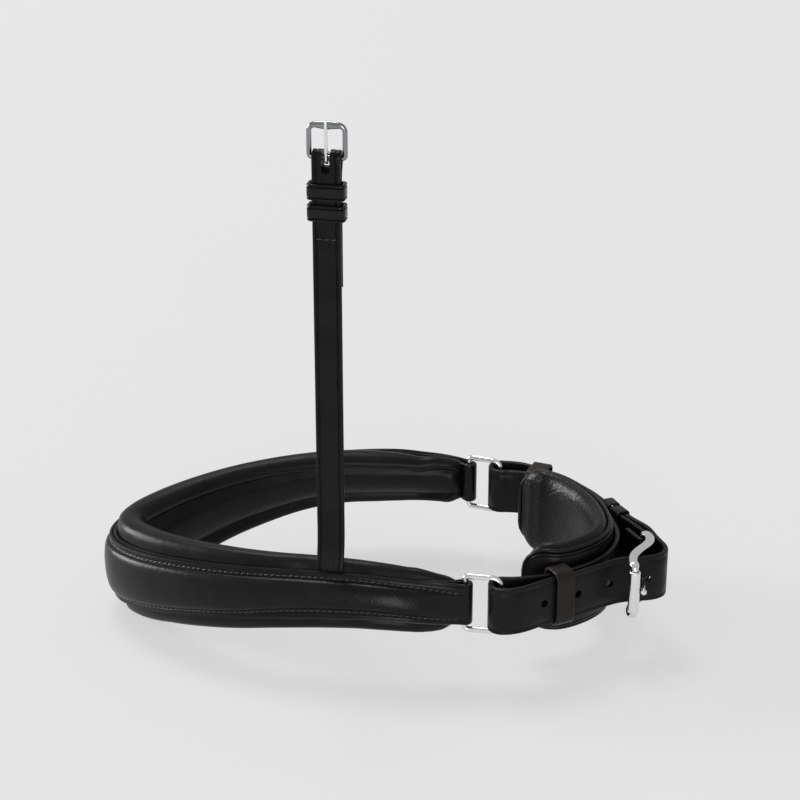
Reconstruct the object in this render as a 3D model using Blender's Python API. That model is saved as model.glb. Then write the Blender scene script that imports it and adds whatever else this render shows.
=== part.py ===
"""Bridle noseband: a padded nose piece, one hanger strap and a crank strap with a chin pad.

Metres, +Z up. While it is built, X runs from the nose towards the chin, the nose tip is at
the origin and z = 0 is the middle line of the nose strap. The last step moves every piece so
that the origin is the middle of the noseband's footprint, on the surface it rests on.
"""
from collections import namedtuple
from math import atan2, cos, pi, sin

import bmesh
import bpy
import numpy as np
from mathutils import Matrix

MM = 0.001

# Noseband as a whole
NOSE_REACH = 178 * MM            # nose tip to the ring bars, along X
ARM_SPREAD = 72.5 * MM           # symmetry plane to the end of each arm
CHIN_REACH = 95 * MM             # ring bars to the chin end of the crank strap
ARM_RISE = 8 * MM                # the arms stand this much above the line between the rings
ARM_LEAN = 25 * pi / 180         # the arms lean in at the top
LEAN_RUNOUT = 30 * MM            # length over which the lean dies out towards the rings
RING_RISE = 1 * MM               # height of the rings' middle
CLEAR = 0.3 * MM                 # gap between pieces that touch
FLAT_DEPTH = 0.5 * MM            # how deep the nose pad is pressed flat by what it stands on

# Nose piece
STRAP_EDGE = 0.5 * MM            # the strap shows this much past each edge of the cover
STRAP_END_EXTRA = 1.4 * MM       # and is this much wider still at the rings
NOSE_STRAP_THICK = 2.2 * MM
TURNBACK_LENGTH = 22 * MM
TURNBACK_CLOSE = 8 * MM          # length over which the turned end closes on the strap
COVER_WIDTH = 33 * MM            # over the nose; it narrows along the arms
COVER_FLANGE = 3.5 * MM
COVER_THICK = 1.6 * MM
COVER_END_GAP = 1.5 * MM          # cover stops this far from the ring bar
RAISE_HEIGHT = 4 * MM
RAISE_RUNOUT = 42 * MM
RAISE_END_HEIGHT = 0.5 * MM
CORE_LEAST = 2.4 * MM            # the filler stops where the raised cover is lower than this
NOSE_PAD_HEIGHT = 51 * MM        # over the nose
NOSE_PAD_THICK = 10.5 * MM
NOSE_PAD_LINER = 1.2 * MM
NOSE_PAD_RUNOUT = 15 * MM
NOSE_PAD_END_GAP = 6 * MM
NOSE_PAD_END_SHARE = 0.72        # pad height and thickness at its ends
PAD_MOUTH = 8 * MM               # the liner's turned-in edges leave this slot at its back

# Square rings
RING_LENGTH = 17.3 * MM          # bar to bar, centre lines
RING_INNER_HEIGHT = 25 * MM
RING_WIRE = 1.45 * MM            # radius
NEAR_TOE_IN = -2.5 * MM          # strap bar stands this much nearer the symmetry plane
FAR_TOE_IN = 5.7 * MM
RING_NOSE_CORNER = 1.9 * MM
RING_STRAP_CORNER = 4 * MM

# Crank strap
CRANK_WIDTH = 24 * MM
CRANK_THICK = 2.4 * MM
RING_FOLD_RADIUS = 6 * MM        # middle of the strap, where it turns round a ring
RING_FOLD_PLAY = 1.2 * MM
HEEL_TURNBACK = 10 * MM
HEEL_RUN_TURN = 117.4 * pi / 180 # plan direction in which the strap leaves the buckle's heel
HOLE_RADIUS = 2.1 * MM
HOLE_PITCH = 19 * MM
HOLES_BEFORE = 3                 # holes between the buckled one and the ring
HOLES_AFTER = 1
DRAWN_HOLE_LENGTH = 7 * MM     # the buckled hole, drawn out by the prong

# Crank roller buckle
BUCKLE_WIRE = 1.5 * MM
BUCKLE_RAIL_WIDTH = 3.8 * MM
BUCKLE_RAIL_THICK = 2.4 * MM
BUCKLE_INNER_HEIGHT = 25 * MM
BUCKLE_CORNER = 2.4 * MM
ROLLER_RADIUS = 2.7 * MM
ROLLER_END_GAP = 0.4 * MM
PRONG_THICK = 2.0 * MM
PRONG_WIDTH = 2.6 * MM
PRONG_SLOT = 4.4 * MM
PRONG_OVERHANG = 1.5 * MM

# Chin pad
CHIN_PAD_HEIGHT = 43 * MM
CHIN_PAD_DROP = 3 * MM           # its middle hangs this much below the rings'
CHIN_PAD_THICK = 9.2 * MM
CHIN_PAD_LINER = 1.1 * MM
CHIN_PAD_BACK = 1.5 * MM
CHIN_PAD_CORNER = 9 * MM
CHIN_PAD_RUNOUT = 16 * MM
CHIN_PAD_END_SHARE = 0.62
PIPING_RADIUS = 1.1 * MM

# Keepers
KEEPER_THICK = 1.2 * MM
CRANK_KEEPER_THICK = 0.9 * MM
PAD_KEEPER_WIDTH = 9.6 * MM
NEAR_KEEPER_SLANT = 3.3 * MM     # room for the pad to turn away under its keeper
FAR_KEEPER_SLANT = 2.2 * MM
FAR_KEEPER_SPREAD = 1.2 * MM     # the two runs part under it
CRANK_KEEPER_ROOM = 0.3 * MM
CRANK_KEEPER_WIDTH = 7.2 * MM
KEEPER_ROOM = 0.5 * MM           # play round the strap
KEEPER_CORNER = 1.6 * MM
NEAR_PAD_KEEPER_PLACE = 0.115   # share of the inner run, from the near ring
FAR_PAD_KEEPER_PLACE = 0.945
CRANK_FIXED_PLACE = 0.2        # share of the far run, from the heel
CRANK_RUNNING_PLACE = 0.305

# Hanger strap
HANGER_PLACE = 66.8 * MM          # from the near ring bar, along the nose path
HANGER_WIDTH = 13 * MM
HANGER_THICK = 2.2 * MM
HANGER_TAB_THICK = 1.3 * MM
HANGER_TAB_DROP = 6 * MM         # the tab reaches this far below the middle line
HANGER_TAB_RISE = 11.8 * MM      # and leans with the arm up to here
HANGER_BEND = 18 * MM
HANGER_HEIGHT = 213 * MM         # middle line of the nose strap to the buckle's heel bar
HANGER_TURNBACK = 59 * MM
HANGER_CLOSE = 9 * MM
HANGER_SKIVE = 8 * MM
FIXED_KEEPER_DROP = 14.6 * MM    # heel bar to the middle of the keeper
RUNNING_KEEPER_DROP = 24.2 * MM
HANGER_KEEPER_WIDTH = 7.4 * MM
HANGER_KEEPER_THICK = 1.5 * MM
HANGER_KEEPER_ROOM = 0.7 * MM
BILLET_ROOM = 1.6 * MM           # room in the keepers for the strap that is buckled in

# Hanger buckle
HANGER_BUCKLE_WIDTH = 18.4 * MM
HANGER_BUCKLE_LENGTH = 16.8 * MM
HANGER_BUCKLE_WIRE = 1.15 * MM
HANGER_BUCKLE_CORNER = 3.6 * MM
HANGER_HEEL_CORNER = 1.4 * MM
TONGUE_THICK = 1.5 * MM
TONGUE_WIDTH = 1.9 * MM
TONGUE_OVERHANG = 1.9 * MM
TONGUE_SLOT = 3.6 * MM
TONGUE_SLOT_RISE = 4.6 * MM
TONGUE_SLOT_DROP = 7 * MM

# Outlines as shares of the sizes above, chosen by hand
NOSE_PLAN_SHARES = [
    (0, 0), (0.015, 0.164), (0.055, 0.315), (0.120, 0.478), (0.215, 0.651), (0.316, 0.791),
    (0.450, 0.919), (0.585, 0.995), (0.724, 1.047), (0.864, 1.068), (1.009, 0.998)]
# Share of the way from a ring to the nose tip, then shares of ARM_RISE, ARM_LEAN, COVER_WIDTH
# and NOSE_PAD_HEIGHT
NOSE_FORM_SHARES = [
    (0, 0.13, 0.98, 0.565, 0.57), (0.10, 0.72, 0.99, 0.570, 0.600), (0.22, 1.01, 1.0, 0.578, 0.632),
    (0.34, 0.94, 0.92, 0.590, 0.655), (0.46, 0.57, 0.725, 0.662, 0.70), (0.58, -0.02, 0.485, 0.766, 0.79),
    (0.70, -0.66, 0.27, 0.858, 0.87), (0.80, -1.18, 0.11, 0.923, 0.932), (0.90, -1.62, -0.02, 0.975, 0.98),
    (1, -1.84, -0.08, 1.0, 1.0)]
NOSE_SECTION_SHARES = [
    (0.24, 0.0), (0.76, 0.0), (0.93, 0.10), (1.0, 0.42), (0.93, 0.74), (0.80, 0.88),
    (0.63, 0.74), (0.46, 0.92), (0.2, 1.0)]
CHIN_SECTION_SHARES = [(0.22, 0.0), (0.92, 0.0), (1.0, 0.22), (0.95, 0.60), (0.72, 0.88), (0.3, 1.0)]
# Plan places: X as a share of CHIN_REACH past the ring bars, Y of ARM_SPREAD
FAR_RUN_SHARES = [
    (0.886, -0.097), (0.838, 0.008), (0.781, 0.132), (0.731, 0.277), (0.667, 0.432),
    (0.588, 0.573), (0.485, 0.713), (0.382, 0.826), (0.284, 0.903)]
INNER_RUN_SHARES = [
    (0.279, 0.753), (0.368, 0.717), (0.468, 0.646), (0.563, 0.524), (0.648, 0.359),
    (0.722, 0.150), (0.764, -0.062), (0.772, -0.248), (0.740, -0.414), (0.674, -0.563),
    (0.584, -0.679), (0.484, -0.767), (0.379, -0.830), (0.284, -0.863)]
NEAR_RUN_SHARES = [
    (0.295, -0.993), (0.405, -0.886), (0.508, -0.806), (0.608, -0.716), (0.703, -0.625),
    (0.795, -0.560), (0.884, -0.535), (0.948, -0.514), (0.996, -0.466), (1.010, -0.385),
    (0.986, -0.285), (0.959, -0.185), (0.937, -0.103), (0.912, -0.048), (0.864, 0.033)]
TIP_PLACE_SHARES = (0.17, 0.22, 0.27, 0.32, 0.365)  # of the far run, on which the strap's tip lies
CHIN_PAD_SHARES = [
    (0.276, -0.612), (0.366, -0.650), (0.466, -0.666), (0.562, -0.610), (0.648, -0.514), (0.716, -0.392),
    (0.749, -0.241), (0.743, -0.069), (0.703, 0.138), (0.628, 0.337), (0.542, 0.490),
    (0.442, 0.593), (0.340, 0.628), (0.270, 0.622)]
RAIL_SHARES = [
    (0.903, -0.228), (0.929, -0.290), (0.924, -0.379), (0.879, -0.476), (0.842, -0.572),
    (0.834, -0.648), (0.842, -0.724)]
BUCKLED_HOLE_SHARE = (0.905, -0.529)

# How finely the pieces are cut into facets
NOSE_STEPS = 34
NOSE_CROWDING = 0.45             # how much closer the stations stand round the nose
TWIST_SHARES = (0.19, 0.26, 0.33, 0.4, 0.47, 0.54, 0.62)  # of LEAN_RUNOUT, where the arm twists
LONGEST_STEP = 8 * MM
LARGEST_TURN = 22 * pi / 180
CHIN_STEPS = 22
CHIN_END_SHARES = (0, 0.25, 0.65)  # of the pad's corner, where its outline rounds
ROUNDED_STEPS = 3
ROUND_SIDES = 8
BOW_POINTS = 5

LEATHER = (0.012, 0.012, 0.013)
BROWN_LEATHER = (0.028, 0.020, 0.016)
LINING = (0.016, 0.016, 0.017)
FOAM = (0.35, 0.33, 0.28)
STEEL = (0.78, 0.78, 0.79)
UP = np.array([0.0, 0.0, 1.0])

Station = namedtuple("Station", "origin up out")


def material(name, colour, roughness, metallic=0.0):
    """A Principled material for one piece."""
    mat = bpy.data.materials.new(name)
    mat.use_nodes = True
    shader = mat.node_tree.nodes["Principled BSDF"]
    shader.inputs["Base Color"].default_value = (*colour, 1)
    shader.inputs["Roughness"].default_value = roughness
    shader.inputs["Metallic"].default_value = metallic
    return mat


def leather(name):
    return material(name, LEATHER, 0.35)


def steel(name):
    return material(name, STEEL, 0.12, 1.0)


def unit(vector):
    return vector / np.linalg.norm(vector)


def in_plan(point, height=0.0):
    """A plan point, at a height."""
    return np.array([point[0], point[1], height])


def ease(share):
    """Eases from 0 to 1, and stays there."""
    share = float(np.clip(share, 0, 1))
    return share * share * (3 - 2 * share)


def smooth_line(points, count):
    """A natural cubic spline through the points, sampled at equal steps of length."""
    points = np.array(points, float)
    knots = np.concatenate([[0], np.cumsum(np.linalg.norm(np.diff(points, axis=0), axis=1))])
    steps = np.diff(knots)
    matrix = np.eye(len(points))
    bends = np.zeros_like(points)
    for i in range(1, len(points) - 1):
        matrix[i, i - 1:i + 2] = steps[i - 1], 2 * (steps[i - 1] + steps[i]), steps[i]
        bends[i] = 6 * ((points[i + 1] - points[i]) / steps[i] - (points[i] - points[i - 1]) / steps[i - 1])
    bends = np.linalg.solve(matrix, bends)
    fine = []
    for i, step in enumerate(steps):
        for share in np.linspace(0, 1, 24, endpoint=False):
            ahead, back = share * step, (1 - share) * step
            fine.append(
                (bends[i] * back ** 3 + bends[i + 1] * ahead ** 3) / (6 * step)
                + (points[i] / step - bends[i] * step / 6) * back
                + (points[i + 1] / step - bends[i + 1] * step / 6) * ahead)
    fine = np.array(fine + [points[-1]])
    along = lengths_along(fine)
    wanted = np.linspace(0, along[-1], count)
    return np.stack([np.interp(wanted, along, fine[:, k]) for k in range(fine.shape[1])], -1)


def lengths_along(line):
    """Length from the start to each point of a line."""
    return np.concatenate([[0], np.cumsum(np.linalg.norm(np.diff(line, axis=0), axis=1))])


def line_length(line):
    return float(lengths_along(np.array(line))[-1])


def thinned(line):
    """Keeps the points of a plan line that its bends and its length need."""
    kept = [0]
    turn = 0.0
    for k in range(1, len(line) - 1):
        before, after = line[k] - line[k - 1], line[k + 1] - line[k]
        turn += abs(atan2(before[0] * after[1] - before[1] * after[0], np.dot(before, after)))
        if turn > LARGEST_TURN or np.linalg.norm(line[k] - line[kept[-1]]) > LONGEST_STEP:
            kept.append(k)
            turn = 0.0
    return line[kept + [len(line) - 1]]


def place(share):
    """A point of the crank strap's plan from its shares."""
    return np.array([NOSE_REACH + share[0] * CHIN_REACH, share[1] * ARM_SPREAD])


def arc(centre, radius, start, end, count):
    """Plan points on an arc, angles in radians from +X."""
    return [np.array(centre) + radius * np.array([cos(t), sin(t)]) for t in np.linspace(start, end, count)]


def add_mesh(name, bm, mat):
    """Makes a named object from a bmesh, with its faces pointing out."""
    bmesh.ops.recalc_face_normals(bm, faces=bm.faces)
    mesh = bpy.data.meshes.new(name)
    bm.to_mesh(mesh)
    bm.free()
    mesh.materials.append(mat)
    obj = bpy.data.objects.new(name, mesh)
    bpy.context.scene.collection.objects.link(obj)
    mesh.shade_smooth()
    mesh.set_sharp_from_angle(angle=pi / 5)
    return obj


def sweep(name, stations, section, mat, closed=False):
    """Carries a section, given for each station, along the stations."""
    bm = bmesh.new()
    loops = []
    for k, station in enumerate(stations):
        corners = [station.origin + a * station.up + b * station.out for a, b in section(k)]
        loops.append([bm.verts.new(corner) for corner in corners])
    pairs = list(zip(loops, loops[1:])) + ([(loops[-1], loops[0])] if closed else [])
    for one, two in pairs:
        for i in range(len(one)):
            j = (i + 1) % len(one)
            bm.faces.new((one[i], one[j], two[j], two[i]))
    if not closed:
        bm.faces.new(loops[0][::-1])
        bm.faces.new(loops[-1])
    return add_mesh(name, bm, mat)


def strap_section(width, thick):
    """A strap's section with its corners broken."""
    a, b, edge = width / 2, thick / 2, thick / 4
    return [(-a, -b + edge), (-a + edge, -b), (a - edge, -b), (a, -b + edge),
            (a, b - edge), (a - edge, b), (-a + edge, b), (-a, b - edge)]


def oval_section(half_up, half_out):
    turns = [2 * pi * (k + 0.5) / ROUND_SIDES for k in range(ROUND_SIDES)]
    return [(half_up * cos(t), half_out * sin(t)) for t in turns]


def mirrored(half):
    """An outline's upper half and its mirror image, as one closed outline."""
    return half + [(-a, b) for a, b in half[::-1]]


def inset_outline(points, distance):
    """Moves a closed clockwise outline inwards."""
    points = np.array(points)
    moved = []
    for k, point in enumerate(points):
        before = unit(point - points[k - 1])
        after = unit(points[(k + 1) % len(points)] - point)
        normal = unit(np.array([(before + after)[1], -(before + after)[0]]))
        spread = max(np.dot(normal, [after[1], -after[0]]), 0.5)
        moved.append(tuple(point + normal * distance / spread))
    return moved


def plan_stations(line, z_of, lean_of=None):
    """Stations along a plan line; `out` is to the right of the way along it."""
    line = np.array(line)
    along = lengths_along(line)
    stations = []
    for k, point in enumerate(line):
        before = unit(line[k] - line[k - 1]) if k else 0
        after = unit(line[k + 1] - line[k]) if k < len(line) - 1 else 0
        tangent = unit(before + after)
        side = np.array([tangent[1], -tangent[0], 0.0])
        share = along[k] / along[-1]
        lean = lean_of(share) if lean_of else 0.0
        up = cos(lean) * UP - sin(lean) * side
        out = cos(lean) * side + sin(lean) * UP
        stations.append(Station(in_plan(point, z_of(share)), up, out))
    return stations


def loop_stations(points, normals):
    """Stations round a closed line; `up` follows the normal given at each point."""
    points = np.array(points)
    stations = []
    for k, point in enumerate(points):
        tangent = unit(points[(k + 1) % len(points)] - points[k - 1])
        up = unit(normals[k] - tangent * np.dot(normals[k], tangent))
        stations.append(Station(point, up, np.cross(tangent, up)))
    return stations


def rounded_box(half_x, half_y, corners, steps=3):
    """Plan points round a box, with a corner radius each from +X+Y, turning left."""
    signs = [(1, 1), (-1, 1), (-1, -1), (1, -1)]
    points = []
    for quarter, ((sx, sy), radius) in enumerate(zip(signs, corners)):
        centre = (sx * (half_x - radius), sy * (half_y - radius))
        points += arc(centre, radius, quarter * pi / 2, (quarter + 1) * pi / 2, steps + 1)
    return points


def divided_loop(points, step):
    """Adds points to the long sides of a closed line."""
    divided = []
    for k, point in enumerate(points):
        following = points[(k + 1) % len(points)]
        count = max(int(np.ceil(np.linalg.norm(following - point) / step)), 1)
        divided += [point + (following - point) * i / count for i in range(count)]
    return divided


def hide_cutter(bm, obj):
    """Takes a closed cutter away from an object."""
    bmesh.ops.recalc_face_normals(bm, faces=bm.faces)
    mesh = bpy.data.meshes.new(obj.name + "_cutter")
    bm.to_mesh(mesh)
    bm.free()
    cutter = bpy.data.objects.new(mesh.name, mesh)
    bpy.context.scene.collection.objects.link(cutter)
    cutter.hide_render = True
    cutter.display_type = "WIRE"
    modifier = obj.modifiers.new("cut", "BOOLEAN")
    modifier.operation = "DIFFERENCE"
    modifier.solver = "EXACT"
    modifier.object = cutter


def prism(obj, centre, axes, outline, half_depth):
    """Cuts a straight hole: the outline lies along the first two axes, the depth on the third."""
    bm = bmesh.new()
    ends = []
    for side in (-1, 1):
        corners = [centre + x * axes[0] + y * axes[1] + side * half_depth * axes[2] for x, y in outline]
        ends.append([bm.verts.new(corner) for corner in corners])
    for k in range(len(outline)):
        following = (k + 1) % len(outline)
        bm.faces.new((ends[0][k], ends[0][following], ends[1][following], ends[1][k]))
    bm.faces.new(ends[0][::-1])
    bm.faces.new(ends[1])
    hide_cutter(bm, obj)


def press_flat(obj, height):
    """Cuts a pad flat where it stands."""
    bm = bmesh.new()
    bm.from_mesh(obj.data)
    everything = bm.verts[:] + bm.edges[:] + bm.faces[:]
    bmesh.ops.bisect_plane(
        bm, geom=everything, plane_co=(0, 0, height), plane_no=(0, 0, -1), clear_outer=True)
    rim = [edge for edge in bm.edges if edge.is_boundary]
    bmesh.ops.holes_fill(bm, edges=rim, sides=0)
    bmesh.ops.recalc_face_normals(bm, faces=bm.faces)
    bm.to_mesh(obj.data)
    bm.free()


def lowest(obj):
    return min(vertex.co.z for vertex in obj.data.vertices)


# Nose piece

def nose_plan():
    """The nose strap's plan, from the far ring bar round the nose to the near one."""
    half = [np.array([x * NOSE_REACH, y * ARM_SPREAD]) for x, y in NOSE_PLAN_SHARES]
    near = [point * [1, -1] for point in half[1:]]
    return smooth_line(half[::-1] + near, NOSE_STEPS * 6 + 1)


NOSE_LINE = nose_plan()
NOSE_LENGTH = line_length(NOSE_LINE)
NOSE_ALONG = lengths_along(NOSE_LINE)
NOSE_FORM = smooth_line(
    NOSE_FORM_SHARES + [(2 - row[0], *row[1:]) for row in NOSE_FORM_SHARES[-2::-1]], 401)


def end_distance(share):
    """Distance from the nearer end, at a share of the nose path."""
    return min(share, 1 - share) * NOSE_LENGTH


def nose_point(share):
    return np.array([np.interp(share * NOSE_LENGTH, NOSE_ALONG, NOSE_LINE[:, k]) for k in (0, 1)])


def nose_form(share):
    """Rise, lean, cover width and pad height at a share of the path."""
    row = [np.interp(2 * share, NOSE_FORM[:, 0], NOSE_FORM[:, k]) for k in (1, 2, 3, 4)]
    return row[0] * ARM_RISE, row[1] * ARM_LEAN, row[2] * COVER_WIDTH, row[3] * NOSE_PAD_HEIGHT


def nose_station(share):
    """The nose piece's frame at a share of its path, on the outer face of the cover's flange."""
    step = 0.2 / NOSE_STEPS
    tangent = unit(nose_point(min(share + step, 1)) - nose_point(max(share - step, 0)))
    side = np.array([tangent[1], -tangent[0], 0.0])
    rise, lean, _, _ = nose_form(share)
    lean *= ease(end_distance(share) / LEAN_RUNOUT)
    point = nose_point(share)
    up = cos(lean) * UP - sin(lean) * side
    out = cos(lean) * side + sin(lean) * UP
    return Station(in_plan(point, rise), up, out)


def nose_shares(end_gap=0.0):
    """Shares of the path from the far end to the near one; pieces share all but their ends."""
    start = end_gap / NOSE_LENGTH
    runout = LEAN_RUNOUT / NOSE_LENGTH
    half = [0, COVER_END_GAP / NOSE_LENGTH, NOSE_PAD_END_GAP / NOSE_LENGTH]
    half += [runout * share for share in TWIST_SHARES]
    half += [TURNBACK_LENGTH / NOSE_LENGTH, (TURNBACK_LENGTH + LEAN_RUNOUT) / 2 / NOSE_LENGTH]
    steps = np.linspace(-1, 1, NOSE_STEPS + 1)
    crowded = (1 - NOSE_CROWDING) * steps + NOSE_CROWDING * steps ** 3
    middle = list(0.5 + (0.5 - runout) * crowded)
    grid = half + middle + [1 - share for share in half[::-1]]
    return [share for share in grid if start - 1e-9 < share < 1 - start + 1e-9]


def raise_height(share):
    grown = ease(end_distance(share) / RAISE_RUNOUT)
    return RAISE_END_HEIGHT + (RAISE_HEIGHT - RAISE_END_HEIGHT) * grown


def bow(half_width, height, base):
    """A raised bow from +a to -a over a base level."""
    turns = [pi * (k + 1) / (BOW_POINTS + 1) for k in range(BOW_POINTS)]
    return [(half_width * cos(t), base + height * sin(t) ** 0.6) for t in turns]


def build_nose_cover():
    """The raised outer leather with a flat flange along each edge."""
    shares = nose_shares(COVER_END_GAP)

    def section(k):
        height = raise_height(shares[k])
        a = nose_form(shares[k])[2] / 2
        d = a - COVER_FLANGE
        base = -COVER_THICK
        outer = [(a, base), (a, 0), (d, 0)] + bow(d, height, 0) + [(-d, 0), (-a, 0), (-a, base)]
        inner = bow(d + base, height, base)[::-1]
        return outer + [(-d - base, base)] + inner + [(d + base, base)]

    sweep("nose_cover", [nose_station(share) for share in shares], section, leather("nose_cover"))


def build_raise_core():
    """The filler that raises the cover."""
    shares = [share for share in nose_shares(COVER_END_GAP) if raise_height(share) > CORE_LEAST]

    def section(k):
        half = nose_form(shares[k])[2] / 2 - COVER_FLANGE - COVER_THICK - 2 * CLEAR
        base = -COVER_THICK + CLEAR
        return [(half, base)] + bow(half, raise_height(shares[k]) - 3 * CLEAR, base) + [(-half, base)]

    mat = material("nose_raise_core", FOAM, 0.8)
    sweep("nose_raise_core", [nose_station(share) for share in shares], section, mat)


STRAP_MID = -COVER_THICK - CLEAR - NOSE_STRAP_THICK / 2
EYE_RADIUS = RING_WIRE + CLEAR + NOSE_STRAP_THICK / 2
EYE_OFFSET = STRAP_MID - EYE_RADIUS
CLOSED_MID = STRAP_MID - NOSE_STRAP_THICK - CLEAR
TAB_MID = STRAP_MID - NOSE_STRAP_THICK / 2 - 2 * CLEAR - HANGER_TAB_THICK / 2
PAD_BACK = TAB_MID - HANGER_TAB_THICK / 2 - CLEAR
PAD_END_BACK = CLOSED_MID - NOSE_STRAP_THICK / 2 - 3 * CLEAR


def nose_bar(side):
    """The nose side bar of a ring: its place, and the ways along and out there."""
    station = nose_station(0.0 if side > 0 else 1.0)
    along = side * np.cross(station.out, UP)
    return station.origin + EYE_OFFSET * station.out, unit(along), station.out


def build_nose_strap():
    """The strap under the cover; each end turns round its ring and lies back along it."""
    shares = nose_shares()
    stations = [nose_station(share) for share in shares]
    main = [s._replace(origin=s.origin + STRAP_MID * s.out) for s in stations]
    widths = []
    for share in shares:
        extra = STRAP_END_EXTRA * (1 - ease(end_distance(share) / LEAN_RUNOUT))
        widths.append(nose_form(share)[2] + 2 * STRAP_EDGE + extra)
    grid = [share * NOSE_LENGTH for share in shares if 0 < share * NOSE_LENGTH < TURNBACK_LENGTH + CLEAR]
    routes = {}
    for side in (1, -1):
        centre, along, out = nose_bar(side)
        eye = []
        for turn in np.linspace(0.2 * pi, pi, 6):
            way = cos(turn) * out + sin(turn) * along
            eye.append(Station(centre + EYE_RADIUS * way, UP, way))
        back = []
        for distance in grid:
            share = distance / NOSE_LENGTH
            station = nose_station(share if side > 0 else 1 - share)
            open_share = 1 - ease(distance / TURNBACK_CLOSE)
            mid = CLOSED_MID + (EYE_OFFSET - EYE_RADIUS - CLOSED_MID) * open_share
            back.append(Station(station.origin + mid * station.out, station.up, -station.out))
        routes[side] = eye + back
    turned = len(routes[1])
    widths = [widths[0]] * turned + widths + [widths[-1]] * turned
    route = routes[1][::-1] + main + routes[-1]
    sweep("nose_strap", route, lambda k: strap_section(widths[k], NOSE_STRAP_THICK), leather("nose_strap"))


def pad_outline(share):
    """The nose pad's section, clockwise, with two channels along its inner face."""
    distance = end_distance(share)
    grown = ease((distance - NOSE_PAD_END_GAP) / NOSE_PAD_RUNOUT)
    size = NOSE_PAD_END_SHARE + (1 - NOSE_PAD_END_SHARE) * grown
    back = PAD_END_BACK + (PAD_BACK - PAD_END_BACK) * ease((distance - TURNBACK_LENGTH) / TURNBACK_LENGTH)
    half = nose_form(share)[3] / 2 * size
    return mirrored([(a * half, back - b * NOSE_PAD_THICK * size) for a, b in NOSE_SECTION_SHARES])


def shell_section(outline, thick, mouth, kept):
    """A lining of even thickness inside an outline, open in the middle of its back."""
    outer = list(outline)
    inner = inset_outline(outer, thick)
    outer[0], outer[-1] = (mouth / 2, outer[0][1]), (-mouth / 2, outer[-1][1])
    inner[0], inner[-1] = (mouth / 2, inner[0][1]), (-mouth / 2, inner[-1][1])
    chosen = [inner[k] for k in kept] + [inner[-1 - k] for k in kept[::-1]]
    return outer + chosen[::-1]


def filling_section(outline, inset, kept):
    inner = inset_outline(outline, inset)
    return [inner[k] for k in kept] + [inner[-1 - k] for k in kept[::-1]]


def build_nose_pad():
    """The padded liner and the foam inside it."""
    shares = nose_shares(NOSE_PAD_END_GAP)
    stations = [nose_station(share) for share in shares]
    liner = sweep(
        "nose_pad_liner", stations,
        lambda k: shell_section(pad_outline(shares[k]), NOSE_PAD_LINER, PAD_MOUTH, (0, 1, 3, 5, 6, 8)),
        material("nose_pad_liner", LINING, 0.45))
    sweep(
        "nose_pad_foam", stations[1:-1],
        lambda k: filling_section(pad_outline(shares[k + 1]), NOSE_PAD_LINER + 2 * CLEAR, (1, 3, 5, 6, 8)),
        material("nose_pad_foam", FOAM, 0.8))
    press_flat(liner, lowest(liner) + FLAT_DEPTH)


# Rings

def ring_places(side):
    """A ring's two bars and the way from the first to the second."""
    bar = nose_bar(side)[0]
    toe = side * (FAR_TOE_IN if side > 0 else NEAR_TOE_IN) / RING_LENGTH
    ahead = np.array([(1 - toe ** 2) ** 0.5, -toe, 0.0])
    return bar, bar + RING_LENGTH * ahead, ahead


def build_ring(name, side):
    bar, _, ahead = ring_places(side)
    middle = bar + ahead * RING_LENGTH / 2
    half_height = RING_INNER_HEIGHT / 2 + RING_WIRE
    corners = (RING_STRAP_CORNER, RING_NOSE_CORNER, RING_NOSE_CORNER, RING_STRAP_CORNER)
    points = [middle + x * ahead + z * UP for x, z in rounded_box(RING_LENGTH / 2, half_height, corners)]
    stations = loop_stations(points, [np.cross(ahead, UP)] * len(points))
    sweep(name, stations, lambda k: oval_section(RING_WIRE, RING_WIRE), steel(name), closed=True)


# Crank strap

HEEL = place(RAIL_SHARES[0])
ROLLER = place(RAIL_SHARES[-1])
HEEL_EYE = BUCKLE_WIRE + CLEAR + CRANK_THICK / 2
HEEL_ALONG = np.array([cos(HEEL_RUN_TURN), sin(HEEL_RUN_TURN)])
HEEL_OUT = np.array([sin(HEEL_RUN_TURN), -cos(HEEL_RUN_TURN)])


def ring_fold(side, start, end):
    """Plan points of the strap's loose turn round a ring's strap bar."""
    _, bar, ahead = ring_places(side)
    reach = RING_WIRE + RING_FOLD_PLAY + CRANK_THICK / 2
    centre = bar[:2] + [RING_FOLD_RADIUS - reach, 0]
    return arc(centre, RING_FOLD_RADIUS, start, end, 9)


def tip_run(far):
    """Plan points of the strap's tip, flat on the outside of the far run."""
    line = smooth_line(far, 201)
    points = []
    for share in TIP_PLACE_SHARES:
        k = int(share * 200)
        way = unit(line[k + 1] - line[k - 1])
        points.append(line[k] + (CRANK_THICK + 2 * CLEAR) * np.array([way[1], -way[0]]))
    return points


def crank_runs():
    """The crank strap's plan, in runs from its turned-in end to its tip."""
    chape = [HEEL - HEEL_EYE * HEEL_OUT + HEEL_TURNBACK * HEEL_ALONG * share for share in (1, 0.5)]
    heel = arc(HEEL, HEEL_EYE, HEEL_RUN_TURN - 1.5 * pi, HEEL_RUN_TURN - 0.5 * pi, 9)
    far_fold = ring_fold(1, 0.42 * pi, 1.58 * pi)
    near_fold = ring_fold(-1, 0.44 * pi, 1.56 * pi)
    tables = (FAR_RUN_SHARES, INNER_RUN_SHARES, NEAR_RUN_SHARES)
    far, inner, near = [[place(share) for share in table] for table in tables]
    return chape + heel, far, far_fold, inner, near_fold, near + tip_run(far)


def crank_line():
    points = [point for run in crank_runs() for point in run]
    return smooth_line(points, int(line_length(points) / MM))


CRANK_LINE = crank_line()


def crank_spot(point):
    """The place on the crank strap nearest to a plan point, and the strap's way there."""
    k = int(np.argmin(np.linalg.norm(CRANK_LINE - point, axis=1)))
    return CRANK_LINE[k], unit(CRANK_LINE[k + 1] - CRANK_LINE[k - 1])


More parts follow.
